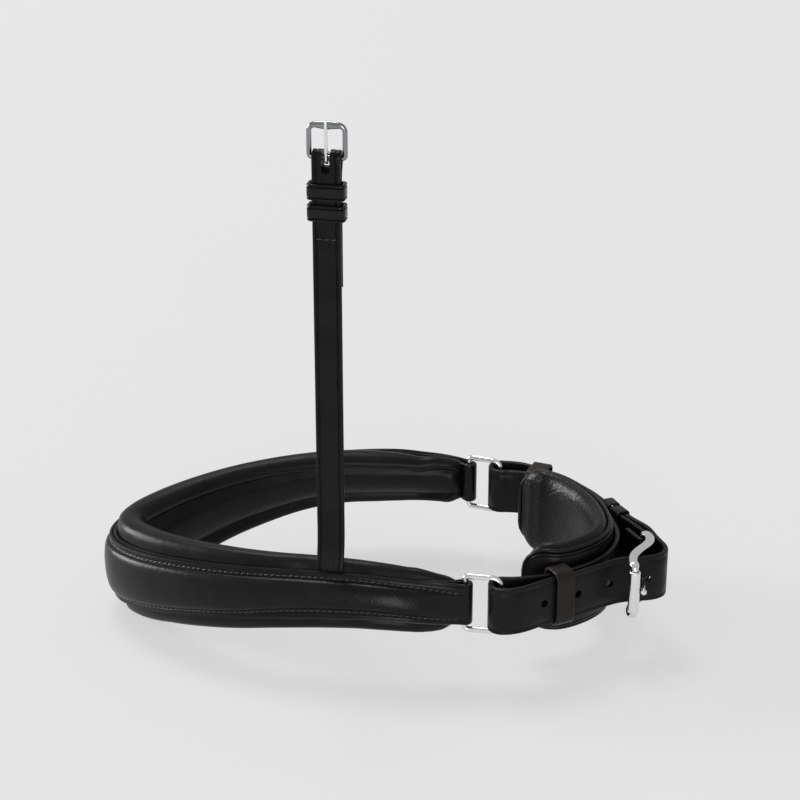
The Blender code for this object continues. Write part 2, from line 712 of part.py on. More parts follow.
def crank_walk(point, distance):
    """A place on the crank strap, so far along it from the place nearest to a point."""
    along = lengths_along(CRANK_LINE)
    start = along[int(np.argmin(np.linalg.norm(CRANK_LINE - point, axis=1)))]
    return np.array([np.interp(start + distance, along, CRANK_LINE[:, k]) for k in (0, 1)])


def build_crank_strap():
    """One strap: buckle heel, far ring, chin, near ring, buckle and on to the tip."""
    stations = plan_stations(thinned(CRANK_LINE), lambda share: RING_RISE)
    strap = sweep(
        "crank_strap", stations, lambda k: strap_section(CRANK_WIDTH, CRANK_THICK), leather("crank_strap"))
    buckled = place(BUCKLED_HOLE_SHARE)
    for number in range(-HOLES_BEFORE, HOLES_AFTER + 1):
        spot, way = crank_spot(crank_walk(buckled, number * HOLE_PITCH))
        half = DRAWN_HOLE_LENGTH / 2 if number == 0 else HOLE_RADIUS
        outline = rounded_box(half, HOLE_RADIUS, [HOLE_RADIUS * 0.999] * 4, 2)
        axes = (in_plan(way), UP, np.cross(in_plan(way), UP))
        prism(strap, in_plan(spot, RING_RISE), axes, outline, CRANK_THICK)
    depth = HEEL_EYE + CRANK_THICK / 2 + 2 * CLEAR
    outline = rounded_box(depth + CLEAR, PRONG_SLOT / 2, [PRONG_SLOT * 0.3] * 4, 2)
    axes = (in_plan(HEEL_ALONG), UP, in_plan(HEEL_OUT))
    prism(strap, in_plan(HEEL, RING_RISE), axes, outline, depth)


# Crank buckle

def rail_curve():
    """The buckle frame's plan from heel to roller."""
    return smooth_line([place(share) for share in RAIL_SHARES], 41)


def build_buckle_frame():
    curve = rail_curve()
    along = lengths_along(curve)
    half = along[-1] / 2
    half_height = (BUCKLE_INNER_HEIGHT + BUCKLE_RAIL_THICK) / 2
    outline = divided_loop(rounded_box(half, half_height, [BUCKLE_CORNER] * 4), LONGEST_STEP / 2)
    points, normals, flatness = [], [], []
    for x, z in outline:
        spot = np.array([np.interp(x + half, along, curve[:, k]) for k in (0, 1)])
        ahead = np.array([np.interp(x + half + MM, along, curve[:, k]) for k in (0, 1)])
        behind = np.array([np.interp(x + half - MM, along, curve[:, k]) for k in (0, 1)])
        way = unit(ahead - behind)
        points.append(in_plan(spot, RING_RISE + z))
        normals.append(np.array([way[1], -way[0], 0.0]))
        flatness.append(1.0 if abs(z) > half_height - BUCKLE_CORNER / 2 else 0.0)

    def section(k):
        flat_share = flatness[k]
        half_up = BUCKLE_WIRE + (BUCKLE_RAIL_WIDTH / 2 - BUCKLE_WIRE) * flat_share
        half_out = BUCKLE_WIRE + (BUCKLE_RAIL_THICK / 2 - BUCKLE_WIRE) * flat_share
        return oval_section(half_up, half_out)

    sweep("crank_buckle_frame", loop_stations(points, normals), section, steel("crank_buckle_frame"), closed=True)


def build_roller():
    """A plain tube round the buckle's outer bar."""
    half = BUCKLE_INNER_HEIGHT / 2 + BUCKLE_RAIL_THICK / 2 - BUCKLE_CORNER - ROLLER_END_GAP
    inner = BUCKLE_WIRE + CLEAR
    bore = [(half, inner), (half, ROLLER_RADIUS), (-half, ROLLER_RADIUS), (-half, inner)]
    sides = 2 * ROUND_SIDES
    stations = []
    for k in range(sides):
        turn = 2 * pi * k / sides
        stations.append(Station(in_plan(ROLLER, RING_RISE), UP, np.array([cos(turn), sin(turn), 0.0])))
    sweep("crank_roller", stations, lambda k: bore, steel("crank_roller"), closed=True)


def prong_line():
    """Plan points of the prong: round the heel bar, then straight to the roller's outer side."""
    eye = BUCKLE_WIRE + CLEAR + PRONG_THICK / 2
    rest = ROLLER + [ROLLER_RADIUS + CLEAR + PRONG_THICK / 2, 0]
    turn = atan2(*(rest - HEEL - [eye, 0])[::-1]) + pi / 2
    start = HEEL + eye * np.array([cos(turn), sin(turn)])
    tip = rest + PRONG_OVERHANG * unit(rest - start)
    return arc(HEEL, eye, turn + 1.45 * pi, turn, 11) + [start + (tip - start) * k / 3 for k in (1, 2, 3)]


def build_prong():
    line = prong_line()
    stations = plan_stations(line, lambda share: RING_RISE)
    last = len(line) - 1

    def section(k):
        size = 0.75 if k == last else 1.0
        return strap_section(PRONG_WIDTH * size, PRONG_THICK * size)

    sweep("crank_prong", stations, section, steel("crank_prong"))


# Keepers

def build_keeper(name, centre, way, low, high, width, thick, half_height, mat):
    """A loop round a strap, reaching from `low` to `high` to the right of the way along it."""
    side = np.cross(way, UP)
    depth = (high - low + thick) / 2
    middle = centre + side * (high + low) / 2
    corners = [KEEPER_CORNER] * 4
    outline = rounded_box(depth, half_height + thick / 2, corners, 2)
    points = [middle + x * side + y * np.cross(side, way) for x, y in outline]
    sweep(name, loop_stations(points, [way] * len(points)), lambda k: strap_section(width, thick), mat, closed=True)


def run_spot(run, share):
    """Place and way at a share of a run's length."""
    line = smooth_line(run, 201)
    k = int(min(share, 0.99) * 200)
    return in_plan(line[k], RING_RISE), in_plan(unit(line[k + 1] - line[k - 1]))


def build_crank_keepers():
    """Two keepers on the far side hold the strap's free end."""
    _, far, _, _, _, _ = crank_runs()
    half = CRANK_THICK / 2 + CRANK_KEEPER_ROOM
    stack = CRANK_THICK + 2 * CLEAR
    for name, share in (("crank_fixed_keeper", CRANK_FIXED_PLACE), ("crank_running_keeper", CRANK_RUNNING_PLACE)):
        spot, way = run_spot(far, share)
        build_keeper(
            name, spot, way, -half, half + stack, CRANK_KEEPER_WIDTH, CRANK_KEEPER_THICK,
            CRANK_WIDTH / 2 + CRANK_KEEPER_ROOM, leather(name))


# Chin pad

def chin_line():
    return smooth_line([place(share) for share in CHIN_PAD_SHARES], 201)


CHIN_LINE = chin_line()
CHIN_LENGTH = line_length(CHIN_LINE)


def chin_stations(end_gap, middle_height):
    """Stations along the chin pad's back, from near to far, and each one's distance from its end."""
    start = end_gap / CHIN_LENGTH
    half = CHIN_PAD_CORNER / CHIN_LENGTH
    ends = [half * share for share in CHIN_END_SHARES]
    shares = np.array(ends + list(np.linspace(half * 1.2, 1 - half * 1.2, CHIN_STEPS)) + [1 - e for e in ends[::-1]])
    shares = start + shares * (1 - 2 * start)
    along = np.linspace(0, 1, len(CHIN_LINE))
    line = np.stack([np.interp(shares, along, CHIN_LINE[:, k]) for k in (0, 1)], -1)
    distances = [(min(share, 1 - share) - start) * CHIN_LENGTH for share in shares]
    return plan_stations(line, lambda share: middle_height), distances


def rounded_half(half, corner, distance):
    """Half the height of a panel with rounded corners, at a distance from its end."""
    short = max(corner - distance, 0)
    return half - corner + max(corner ** 2 - short ** 2, 0) ** 0.5


def build_chin_pad():
    """Back panel, piping round its edge, lining and foam."""
    middle = RING_RISE - CHIN_PAD_DROP
    edge = 2 * PIPING_RADIUS + CLEAR
    half = CHIN_PAD_HEIGHT / 2 - edge
    corner = CHIN_PAD_CORNER - edge
    stations, distances = chin_stations(edge, middle)

    def back_section(k):
        height = 2 * rounded_half(half, corner, distances[k])
        return [(a, b - CHIN_PAD_BACK / 2) for a, b in strap_section(height, CHIN_PAD_BACK)]

    sweep("chin_pad_back", stations, back_section, leather("chin_pad_back"))

    def outline(k):
        height = rounded_half(half, corner, distances[k])
        grown = ease(distances[k] / CHIN_PAD_RUNOUT)
        thick = CHIN_PAD_THICK * (CHIN_PAD_END_SHARE + (1 - CHIN_PAD_END_SHARE) * grown)
        back = -CHIN_PAD_BACK - CLEAR
        return mirrored([(a * height, back - b * thick) for a, b in CHIN_SECTION_SHARES])

    sweep(
        "chin_pad_liner", stations,
        lambda k: shell_section(outline(k), CHIN_PAD_LINER, PAD_MOUTH, (0, 1, 2, 3, 4, 5)),
        material("chin_pad_liner", LINING, 0.45))
    sweep(
        "chin_pad_foam", stations[ROUNDED_STEPS:-ROUNDED_STEPS],
        lambda k: filling_section(outline(k + ROUNDED_STEPS), CHIN_PAD_LINER + 2 * CLEAR, (1, 2, 3, 4, 5)),
        material("chin_pad_foam", FOAM, 0.8))

    frames, _ = chin_stations(PIPING_RADIUS, middle)
    origins = np.array([frame.origin for frame in frames])
    outs = np.array([frame.out for frame in frames])
    along = lengths_along(origins)
    half_length = along[-1] / 2
    ring = rounded_box(half_length, CHIN_PAD_HEIGHT / 2 - PIPING_RADIUS, [CHIN_PAD_CORNER - PIPING_RADIUS] * 4)
    points, normals = [], []
    for x, y in divided_loop(ring, LONGEST_STEP):
        origin = np.array([np.interp(x + half_length, along, origins[:, k]) for k in range(3)])
        out = unit(np.array([np.interp(x + half_length, along, outs[:, k]) for k in range(3)]))
        points.append(origin + y * UP - (CHIN_PAD_BACK + CLEAR / 2) * out)
        normals.append(out)
    sweep(
        "chin_pad_piping", loop_stations(points, normals),
        lambda k: oval_section(PIPING_RADIUS, PIPING_RADIUS), leather("chin_pad_piping"), closed=True)


def chin_centre():
    """The middle of the bend that the chin pad follows round the chin."""
    ends = [CHIN_LINE[int(share * 200)] for share in (0.2, 0.5, 0.8)]
    rows = np.array([ends[1] - ends[0], ends[2] - ends[1]])
    middles = [(ends[0] + ends[1]) / 2, (ends[1] + ends[2]) / 2]
    centre = np.linalg.solve(rows, [np.dot(row, middle) for row, middle in zip(rows, middles)])
    return in_plan(centre, RING_RISE)


def gap_to(line, spot, side):
    """How far a line passes from a place, to the right of the way along."""
    offsets = np.array(line) - spot[:2]
    across = offsets @ side[:2]
    beside = np.abs(offsets @ np.array([-side[1], side[0]]))
    return float(across[int(np.argmin(beside + np.abs(across) * 0.05))])


def build_pad_keepers():
    """A loop at each wing of the chin pad holds both runs of the crank strap."""
    _, far, _, inner, _, near = crank_runs()
    inner = inner[::-1]
    outer_runs = {"near": smooth_line(near, 201)[:90], "far": smooth_line(far, 201)[70:]}
    places = {
        "near": (NEAR_PAD_KEEPER_PLACE, NEAR_KEEPER_SLANT, 0.0),
        "far": (FAR_PAD_KEEPER_PLACE, FAR_KEEPER_SLANT, FAR_KEEPER_SPREAD)}
    for name, (share, slant, spread) in places.items():
        spot, way = run_spot(inner, share)
        side = np.cross(way, UP)
        outer = gap_to(outer_runs[name], spot, side)
        pad = gap_to(CHIN_LINE, spot, side)
        low = pad + KEEPER_THICK + slant
        high = outer + CRANK_THICK / 2 + 2 * KEEPER_ROOM + spread
        build_keeper(
            "chin_keeper_" + name, spot, way, low, high, PAD_KEEPER_WIDTH, KEEPER_THICK,
            CRANK_WIDTH / 2 + 3 * KEEPER_ROOM, material("chin_keeper_" + name, BROWN_LEATHER, 0.35))


# Hanger

def hanger_frame():
    """The hanger's base on the near arm: origin, up, out, and the level ways across and outward."""
    station = nose_station(1 - HANGER_PLACE / NOSE_LENGTH)
    side = unit(in_plan(station.out))
    return station, side, np.cross(UP, side)


def hanger_front():
    """Plan-level place of the hanger's straight part, and its lean at the base."""
    station, side, _ = hanger_frame()
    lean = atan2(station.out[2], np.dot(station.out, side))
    start = station.origin + HANGER_TAB_RISE * station.up + TAB_MID * station.out
    radius = HANGER_BEND / lean
    inward = radius * (1 - cos(lean))
    return start, lean, radius, start - side * inward + UP * radius * sin(lean)


HANGER_EYE = HANGER_BUCKLE_WIRE + CLEAR + HANGER_THICK / 2


def hanger_heel():
    """Middle of the hanger buckle's heel bar."""
    _, side, _ = hanger_frame()
    top = hanger_front()[3]
    return in_plan(top[:2], HANGER_HEIGHT) - HANGER_EYE * side


def build_hanger_strap():
    """Tab behind the cover, straight strap, turn round the buckle bar and the turned-back end."""
    station, side, across = hanger_frame()
    start, lean, radius, straight = hanger_front()
    heel = hanger_heel()
    stations, thicks = [], []
    for share in np.linspace(0, 1, 4):
        rise = -HANGER_TAB_DROP + share * (HANGER_TAB_RISE + HANGER_TAB_DROP)
        stations.append(Station(station.origin + rise * station.up + TAB_MID * station.out, across, station.out))
        thicks.append(HANGER_TAB_THICK)
    for share in np.linspace(0.2, 1, 5):
        angle = lean * (1 - share)
        point = straight + side * radius * (1 - cos(angle)) - UP * radius * sin(angle)
        stations.append(Station(point, across, cos(angle) * side + sin(angle) * UP))
        thicks.append(HANGER_TAB_THICK + (HANGER_THICK - HANGER_TAB_THICK) * ease(share))
    front = heel + HANGER_EYE * side
    for height in np.linspace(straight[2], heel[2], 9)[1:-1]:
        stations.append(Station(in_plan(front[:2], height), across, side))
    for turn in np.linspace(0, pi, 8):
        way = cos(turn) * side + sin(turn) * UP
        stations.append(Station(heel + HANGER_EYE * way, across, way))
    closed = HANGER_THICK + CLEAR - HANGER_EYE
    for drop in list(np.linspace(0.2, 1, 5) * HANGER_CLOSE) + [0.5 * HANGER_TURNBACK, HANGER_TURNBACK - HANGER_SKIVE]:
        offset = HANGER_EYE + (closed - HANGER_EYE) * ease(drop / HANGER_CLOSE)
        stations.append(Station(heel - offset * side - drop * UP, across, -side))
    thicks += [HANGER_THICK] * (len(stations) - len(thicks))
    stations.append(Station(heel - closed * side - HANGER_TURNBACK * UP, across, -side))
    thicks.append(HANGER_THICK / 2)
    mat = leather("hanger_strap")
    strap = sweep("hanger_strap", stations, lambda k: strap_section(HANGER_WIDTH, thicks[k]), mat)
    middle = heel + UP * (TONGUE_SLOT_RISE - TONGUE_SLOT_DROP) / 2
    half = (TONGUE_SLOT_RISE + TONGUE_SLOT_DROP) / 2
    outline = rounded_box(TONGUE_SLOT / 2, half, [TONGUE_SLOT * 0.3] * 4, 2)
    prism(strap, middle, (across, UP, side), outline, HANGER_EYE + HANGER_THICK)


def build_hanger_keepers():
    _, side, _ = hanger_frame()
    heel = hanger_heel()
    low = -1.5 * HANGER_THICK - 2 * CLEAR
    high = HANGER_THICK / 2 + BILLET_ROOM + CLEAR
    for name, drop in (("hanger_fixed_keeper", FIXED_KEEPER_DROP), ("hanger_running_keeper", RUNNING_KEEPER_DROP)):
        centre = heel + HANGER_EYE * side - drop * UP
        outline_side = np.cross(UP, side)
        depth = (high - low + HANGER_KEEPER_THICK) / 2
        middle = centre + side * (high + low) / 2
        half_width = HANGER_WIDTH / 2 + HANGER_KEEPER_ROOM + HANGER_KEEPER_THICK / 2
        outline = rounded_box(depth, half_width, [KEEPER_CORNER] * 4, 2)
        points = [middle + x * side + y * outline_side for x, y in outline]
        sweep(
            name, loop_stations(points, [UP] * len(points)),
            lambda k: strap_section(HANGER_KEEPER_WIDTH, HANGER_KEEPER_THICK), leather(name), closed=True)


def build_hanger_buckle():
    """The frame round the strap's end and the tongue that rests on it."""
    _, side, across = hanger_frame()
    heel = hanger_heel()
    wire = HANGER_BUCKLE_WIRE
    half_width = HANGER_BUCKLE_WIDTH / 2 - wire
    half_length = HANGER_BUCKLE_LENGTH / 2 - wire
    corners = (HANGER_BUCKLE_CORNER, HANGER_BUCKLE_CORNER, HANGER_HEEL_CORNER, HANGER_HEEL_CORNER)
    middle = heel + half_length * UP
    points = [middle + x * across + y * UP for x, y in rounded_box(half_width, half_length, corners)]
    stations = loop_stations(points, [side] * len(points))
    name = "hanger_buckle_frame"
    sweep(name, stations, lambda k: oval_section(wire, wire), steel(name), closed=True)
    eye = wire + CLEAR + TONGUE_THICK / 2
    stations = []
    for turn in np.linspace(-1.4 * pi, 0, 10):
        way = cos(turn) * side + sin(turn) * UP
        stations.append(Station(heel + eye * way, across, way))
    length = 2 * half_length + TONGUE_OVERHANG
    for share in (0.35, 0.9, 1):
        stations.append(Station(heel + eye * side + share * length * UP, across, side))
    last = len(stations) - 1

    def section(k):
        size = 0.7 if k == last else 1.0
        return strap_section(TONGUE_WIDTH * size, TONGUE_THICK * size)

    sweep("hanger_tongue", stations, section, steel("hanger_tongue"))


def main_shift():
    """From the building frame to the middle of the footprint."""
    low, high = np.full(3, np.inf), np.full(3, -np.inf)
    for obj in bpy.data.objects:
        if obj.hide_render:
            continue
        corners = np.array([vertex.co[:] for vertex in obj.data.vertices])
        low, high = np.minimum(low, corners.min(0)), np.maximum(high, corners.max(0))
    return -np.array([(low[0] + high[0]) / 2, (low[1] + high[1]) / 2, low[2]])


def pivots():
    """Each moving piece's place on its joint's axis, while it is built."""
    heel, roller = in_plan(HEEL, RING_RISE), in_plan(ROLLER, RING_RISE)
    _, far, _, _, _, _ = crank_runs()
    hanger = hanger_heel()
    runner = hanger + HANGER_EYE * hanger_frame()[1] - RUNNING_KEEPER_DROP * UP
    crank = in_plan(ring_places(-1)[1], RING_RISE)
    centre = chin_centre()
    table = {
        "near_ring": in_plan(nose_bar(-1)[0], RING_RISE), "far_ring": in_plan(nose_bar(1)[0], RING_RISE),
        "crank_strap": crank, "crank_fixed_keeper": crank, "crank_buckle_frame": heel,
        "crank_prong": heel, "crank_roller": roller,
        "crank_running_keeper": run_spot(far, CRANK_RUNNING_PLACE)[0],
        "hanger_running_keeper": runner, "hanger_buckle_frame": hanger, "hanger_tongue": hanger}
    for name in ("back", "foam", "liner", "piping"):
        table["chin_pad_" + name] = centre
    for name in ("near", "far"):
        table["chin_keeper_" + name] = centre
    return table


def main():
    for obj in list(bpy.data.objects):
        bpy.data.objects.remove(obj, do_unlink=True)
    build_nose_cover()
    build_raise_core()
    build_nose_strap()
    build_nose_pad()
    build_ring("near_ring", -1)
    build_ring("far_ring", 1)
    build_crank_strap()
    build_buckle_frame()
    build_roller()
    build_prong()
    build_crank_keepers()
    build_chin_pad()
    build_pad_keepers()
    build_hanger_strap()
    build_hanger_keepers()
    build_hanger_buckle()
    shift = main_shift()
    places = pivots()
    for obj in bpy.data.objects:
        pivot = places.get(obj.name, -shift)
        obj.data.transform(Matrix.Translation(-pivot))
        obj.location = pivot + shift
    return shift


SHIFT = main()
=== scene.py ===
# %% [markdown]
# # A bridle noseband in black leather
#
# The noseband has a padded nose piece with a raised cover, two square rings, a crank strap that
# runs twice round the chin, a piped chin pad and one upright hanger strap. The CAD solids give
# every place. Here each leather piece is cut flat on the bench as a grid of faces and is then
# laid along the same line as its solid, so that it gets creases, rounded edges and stitches.

from collections import namedtuple
from math import atan2, cos, pi, radians, sin

import bpy
import numpy as np
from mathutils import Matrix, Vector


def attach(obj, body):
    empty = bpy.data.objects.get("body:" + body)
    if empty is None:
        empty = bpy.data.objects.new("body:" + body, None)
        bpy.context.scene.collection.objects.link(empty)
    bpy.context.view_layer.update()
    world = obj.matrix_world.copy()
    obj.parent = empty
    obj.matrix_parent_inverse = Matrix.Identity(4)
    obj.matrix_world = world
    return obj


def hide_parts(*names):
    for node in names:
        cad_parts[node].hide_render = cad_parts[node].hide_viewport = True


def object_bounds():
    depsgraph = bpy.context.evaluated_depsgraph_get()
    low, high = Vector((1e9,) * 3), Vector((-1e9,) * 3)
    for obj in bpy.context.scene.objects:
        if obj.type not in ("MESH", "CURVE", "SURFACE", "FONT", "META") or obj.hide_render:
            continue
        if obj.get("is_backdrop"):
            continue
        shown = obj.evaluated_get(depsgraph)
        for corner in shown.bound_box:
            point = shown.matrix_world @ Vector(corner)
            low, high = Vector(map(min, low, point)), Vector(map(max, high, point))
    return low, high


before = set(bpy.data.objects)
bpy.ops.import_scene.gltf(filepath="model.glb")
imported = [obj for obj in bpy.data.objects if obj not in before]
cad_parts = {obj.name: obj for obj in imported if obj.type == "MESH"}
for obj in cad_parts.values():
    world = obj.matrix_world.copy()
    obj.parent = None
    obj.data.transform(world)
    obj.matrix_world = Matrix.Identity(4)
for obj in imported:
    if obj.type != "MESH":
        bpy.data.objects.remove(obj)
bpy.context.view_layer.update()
bpy.ops.object.select_all(action="DESELECT")
MM = 0.001
UP = np.array([0.0, 0.0, 1.0])

# %% [markdown]
# ## Camera
#
# The camera stands about a metre in front, 23 degrees above the level and almost straight on,
# with a long lens, which keeps the two arms of the noseband nearly parallel.

# %% Camera
bpy.ops.object.camera_add(
    location=(0.0530, -0.9304, 0.5084), rotation=(radians(67.06), 0, radians(2.69)))
camera = bpy.context.object
camera.name = "photo_camera"
camera.data.sensor_width = 36
camera.data.lens = 94.05
bpy.context.scene.camera = camera
print("lens", camera.data.lens, "mm")

# %% [markdown]
# ## Lines that the leather follows
#
# A natural cubic spline through a few measured points gives a line with no kinks, which is how
# a strap bends. Every strap is described by stations along such a line: a place, the way across
# the strap and the way out of its face.

# %% Spline helpers
Station = namedtuple("Station", "origin up out")


def unit(vector):
    vector = np.asarray(vector, float)
    return vector / np.linalg.norm(vector)


def ease(share):
    """Eases from 0 to 1, and stays there."""
    share = float(np.clip(share, 0, 1))
    return share * share * (3 - 2 * share)


def grown(first, distance, runout):
    """Grows from a first share to 1 over a distance, and stays there."""
    return first + (1 - first) * ease(distance / runout)


def in_plan(point, height=0.0):
    return np.array([point[0], point[1], height])


def lengths_along(line):
    """Length from the start to each point of a line."""
    return np.concatenate([[0], np.cumsum(np.linalg.norm(np.diff(line, axis=0), axis=1))])


def read_off(wanted, along, rows):
    """Rows of a table at the wanted lengths, where each row stands at its length along a line."""
    return np.stack([np.interp(wanted, along, column) for column in np.asarray(rows).T], -1)


def smooth_line(points, count):
    """A natural cubic spline through the points, sampled at equal steps of length."""
    points = np.array(points, float)
    knots = lengths_along(points)
    steps = np.diff(knots)
    matrix = np.eye(len(points))
    bends = np.zeros_like(points)
    for i in range(1, len(points) - 1):
        matrix[i, i - 1:i + 2] = steps[i - 1], 2 * (steps[i - 1] + steps[i]), steps[i]
        slopes = (points[i + 1] - points[i]) / steps[i], (points[i] - points[i - 1]) / steps[i - 1]
        bends[i] = 6 * (slopes[0] - slopes[1])
    bends = np.linalg.solve(matrix, bends)
    fine = []
    for i, step in enumerate(steps):
        for share in np.linspace(0, 1, 24, endpoint=False):
            ahead, back = share * step, (1 - share) * step
            fine.append(
                (bends[i] * back ** 3 + bends[i + 1] * ahead ** 3) / (6 * step)
                + (points[i] / step - bends[i] * step / 6) * back
                + (points[i + 1] / step - bends[i + 1] * step / 6) * ahead)
    fine = np.array(fine + [points[-1]])
    along = lengths_along(fine)
    return read_off(np.linspace(0, along[-1], count), along, fine)


def plan_frames(line, height):
    """Level stations along a plan line; out is to the right of the way along."""
    ways = np.gradient(np.array(line), axis=0)
    frames = []
    for point, way in zip(line, ways):
        way = unit(way)
        frames.append(Station(in_plan(point, height), UP, np.array([way[1], -way[0], 0.0])))
    return frames


def arc(centre, radius, start, end, count):
    turns = np.linspace(start, end, count)
    return [np.array(centre) + radius * np.array([cos(turn), sin(turn)]) for turn in turns]


# The sides that each corner lies on, and the angle at which it starts.
BOX_CORNERS = ((-1, -1, pi), (1, -1, 1.5 * pi), (1, 1, 0), (-1, 1, 0.5 * pi))


def rounded_box(half_x, half_y, corners, steps=6):
    """A rounded rectangle, anticlockwise from the lower left corner."""
    points = []
    for (sx, sy, first), corner in zip(BOX_CORNERS, corners):
        for turn in np.linspace(0, 0.5 * pi, steps):
            points.append(np.array([
                sx * (half_x - corner) + corner * cos(first + turn),
                sy * (half_y - corner) + corner * sin(first + turn)]))
    return points


def divided(points, step):
    """A closed loop of points with none further apart than a step."""
    result = []
    for a, b in zip(points, points[1:] + points[:1]):
        count = max(1, int(np.ceil(np.linalg.norm(b - a) / step)))
        result += [a + (b - a) * k / count for k in range(count)]
    return result

# %% [markdown]
# ## Nose line
#
# The nose piece is wide and low at the nose and narrow and high on the arms, and the arms lean
# in at the top. One table holds the rise, the lean and the two widths along half of it. Each row
# starts with its place, 0 at the ring and 1 at the nose. The rows are joined by a spline and then
# blurred, because even a small kink in them would show as a dent in the polished leather.

# %% Nose line
NOSE_TIP = np.array([-0.135584, 0.0, 0.039331])  # lines are drawn from here, pieces from the origin
NOSE_REACH = 178 * MM
ARM_SPREAD = 72.5 * MM
ARM_RISE = 8 * MM
ARM_LEAN = radians(25)
LEAN_RUNOUT = 30 * MM
COVER_WIDTH = 33 * MM
NOSE_PAD_HEIGHT = 51 * MM
TANGENT_STEP = 0.2 / 34
BLUR_REACH = 31
NOSE_PLAN = [
    (0, 0), (0.015, 0.164), (0.055, 0.315), (0.120, 0.478), (0.215, 0.651), (0.316, 0.791),
    (0.450, 0.919), (0.585, 0.995), (0.724, 1.047), (0.864, 1.068), (1.009, 0.998)]
NOSE_FORM = [
    (0, 0.13, 0.98, 0.565, 0.57), (0.10, 0.72, 0.99, 0.570, 0.600), (0.22, 1.01, 1.0, 0.578, 0.632),
    (0.34, 0.94, 0.92, 0.590, 0.655), (0.46, 0.57, 0.725, 0.662, 0.70), (0.58, -0.02, 0.485, 0.766, 0.79),
    (0.70, -0.66, 0.27, 0.858, 0.87), (0.80, -1.18, 0.11, 0.923, 0.932), (0.90, -1.62, -0.02, 0.975, 0.98),
    (1, -1.84, -0.08, 1.0, 1.0)]
half_plan = [np.array([x * NOSE_REACH, y * ARM_SPREAD]) for x, y in NOSE_PLAN]
nose_line = smooth_line(half_plan[::-1] + [p * [1, -1] for p in half_plan[1:]], 205)
nose_along = lengths_along(nose_line)
NOSE_LENGTH = float(nose_along[-1])
form_line = smooth_line(NOSE_FORM + [(2 - row[0], *row[1:]) for row in NOSE_FORM[-2::-1]], 401)
FORM_PLACES = np.linspace(0, 2, 401)
nose_forms = read_off(FORM_PLACES, form_line[:, 0], form_line[:, 1:])
blur = np.hanning(2 * BLUR_REACH + 1)
padded = np.pad(nose_forms, ((BLUR_REACH, BLUR_REACH), (0, 0)), mode="reflect", reflect_type="odd")
nose_forms = np.stack([np.convolve(column, blur / blur.sum(), mode="valid") for column in padded.T], -1)


def nose_point(share):
    return read_off(share * NOSE_LENGTH, nose_along, nose_line)


def nose_form(share):
    """Rise, lean, cover width and pad height at a share of the path."""
    return read_off(2 * share, FORM_PLACES, nose_forms) * [ARM_RISE, ARM_LEAN, COVER_WIDTH, NOSE_PAD_HEIGHT]


def end_distance(share):
    return min(share, 1 - share) * NOSE_LENGTH


def nose_station(share):
    """The nose piece's frame at a share of its path, on the outer face of the cover's flange."""
    ends = nose_point(max(share - TANGENT_STEP, 0)), nose_point(min(share + TANGENT_STEP, 1))
    tangent = unit(ends[1] - ends[0])
    side = np.array([tangent[1], -tangent[0], 0.0])
    rise, lean, _, _ = nose_form(share)
    lean *= ease(end_distance(share) / LEAN_RUNOUT)
    up = cos(lean) * UP - sin(lean) * side
    out = cos(lean) * side + sin(lean) * UP
    return Station(in_plan(nose_point(share), rise), up, out)


print("nose path", round(NOSE_LENGTH * 1000), "mm")

# %% [markdown]
# ## Cutting and laying leather
#
# A strap is a grid of faces: one side of the grid runs along the strap, the other runs round its
# cross-section. The grid is added with one operator, its points are laid on the stations, and
# merging by distance closes the section. A loop such as a keeper or a ring starts from a torus,
# which is already closed both ways.

# %% Cutting and laying
def fresh(operator, **settings):
    """A primitive to start a piece from, with nothing else selected."""
    bpy.ops.object.select_all(action="DESELECT")
    operator(**settings)
    return bpy.context.object


def points_of(obj):
    return np.array([vertex.co for vertex in obj.data.vertices])


def move_points(obj, places):
    obj.data.vertices.foreach_set("co", places.ravel())
    obj.data.update()


def finish_mesh(obj, smooth_angle):
    """Closes the section and the ends, and turns every face outwards."""
    bpy.ops.object.mode_set(mode="EDIT")
    bpy.ops.mesh.select_all(action="SELECT")
    bpy.ops.mesh.remove_doubles(threshold=1e-6)
    bpy.ops.mesh.select_all(action="SELECT")
    bpy.ops.mesh.fill_holes(sides=0)
    bpy.ops.mesh.select_all(action="SELECT")
    bpy.ops.mesh.normals_make_consistent(inside=False)
    bpy.ops.object.mode_set(mode="OBJECT")
    bpy.ops.object.shade_smooth_by_angle(angle=radians(smooth_angle))


def laid(name, stations, section, closed=False, smooth_angle=40):
    """A piece whose section, a list of (across, out) points, is laid on every station."""
    rows = [section(k) for k in range(len(stations))]
    count, around = len(rows), len(rows[0])
    places = []
    for station, row in zip(stations, rows):
        for a, b in (row if closed else row + row[:1]):
            places.append(station.origin + a * station.up + b * station.out + NOSE_TIP)
    if closed:
        obj = fresh(bpy.ops.mesh.primitive_torus_add, major_segments=count, minor_segments=around)
        order = np.arange(count * around)
    else:
        obj = fresh(
            bpy.ops.mesh.primitive_grid_add, x_subdivisions=count - 1, y_subdivisions=around, size=1)
        flat = points_of(obj)
        i = np.rint((flat[:, 0] + 0.5) * (count - 1)).astype(int)
        j = np.rint((flat[:, 1] + 0.5) * around).astype(int)
        order = i * (around + 1) + j
    obj.name = obj.data.name = name
    move_points(obj, np.array(places)[order])
    finish_mesh(obj, smooth_angle)
    return obj


def loop_frames(points, normals):
    """Stations round a closed loop; the section's first axis is the loop's own normal."""
    frames = []
    for k, point in enumerate(points):
        way = unit(points[(k + 1) % len(points)] - points[k - 1])
        frames.append(Station(np.array(point), normals[k], unit(np.cross(way, normals[k]))))
    return frames


EDGE_ROUND = 0.8 * MM
CREASE_HALF = 0.5 * MM
CREASE_FLOOR = 0.12 * MM


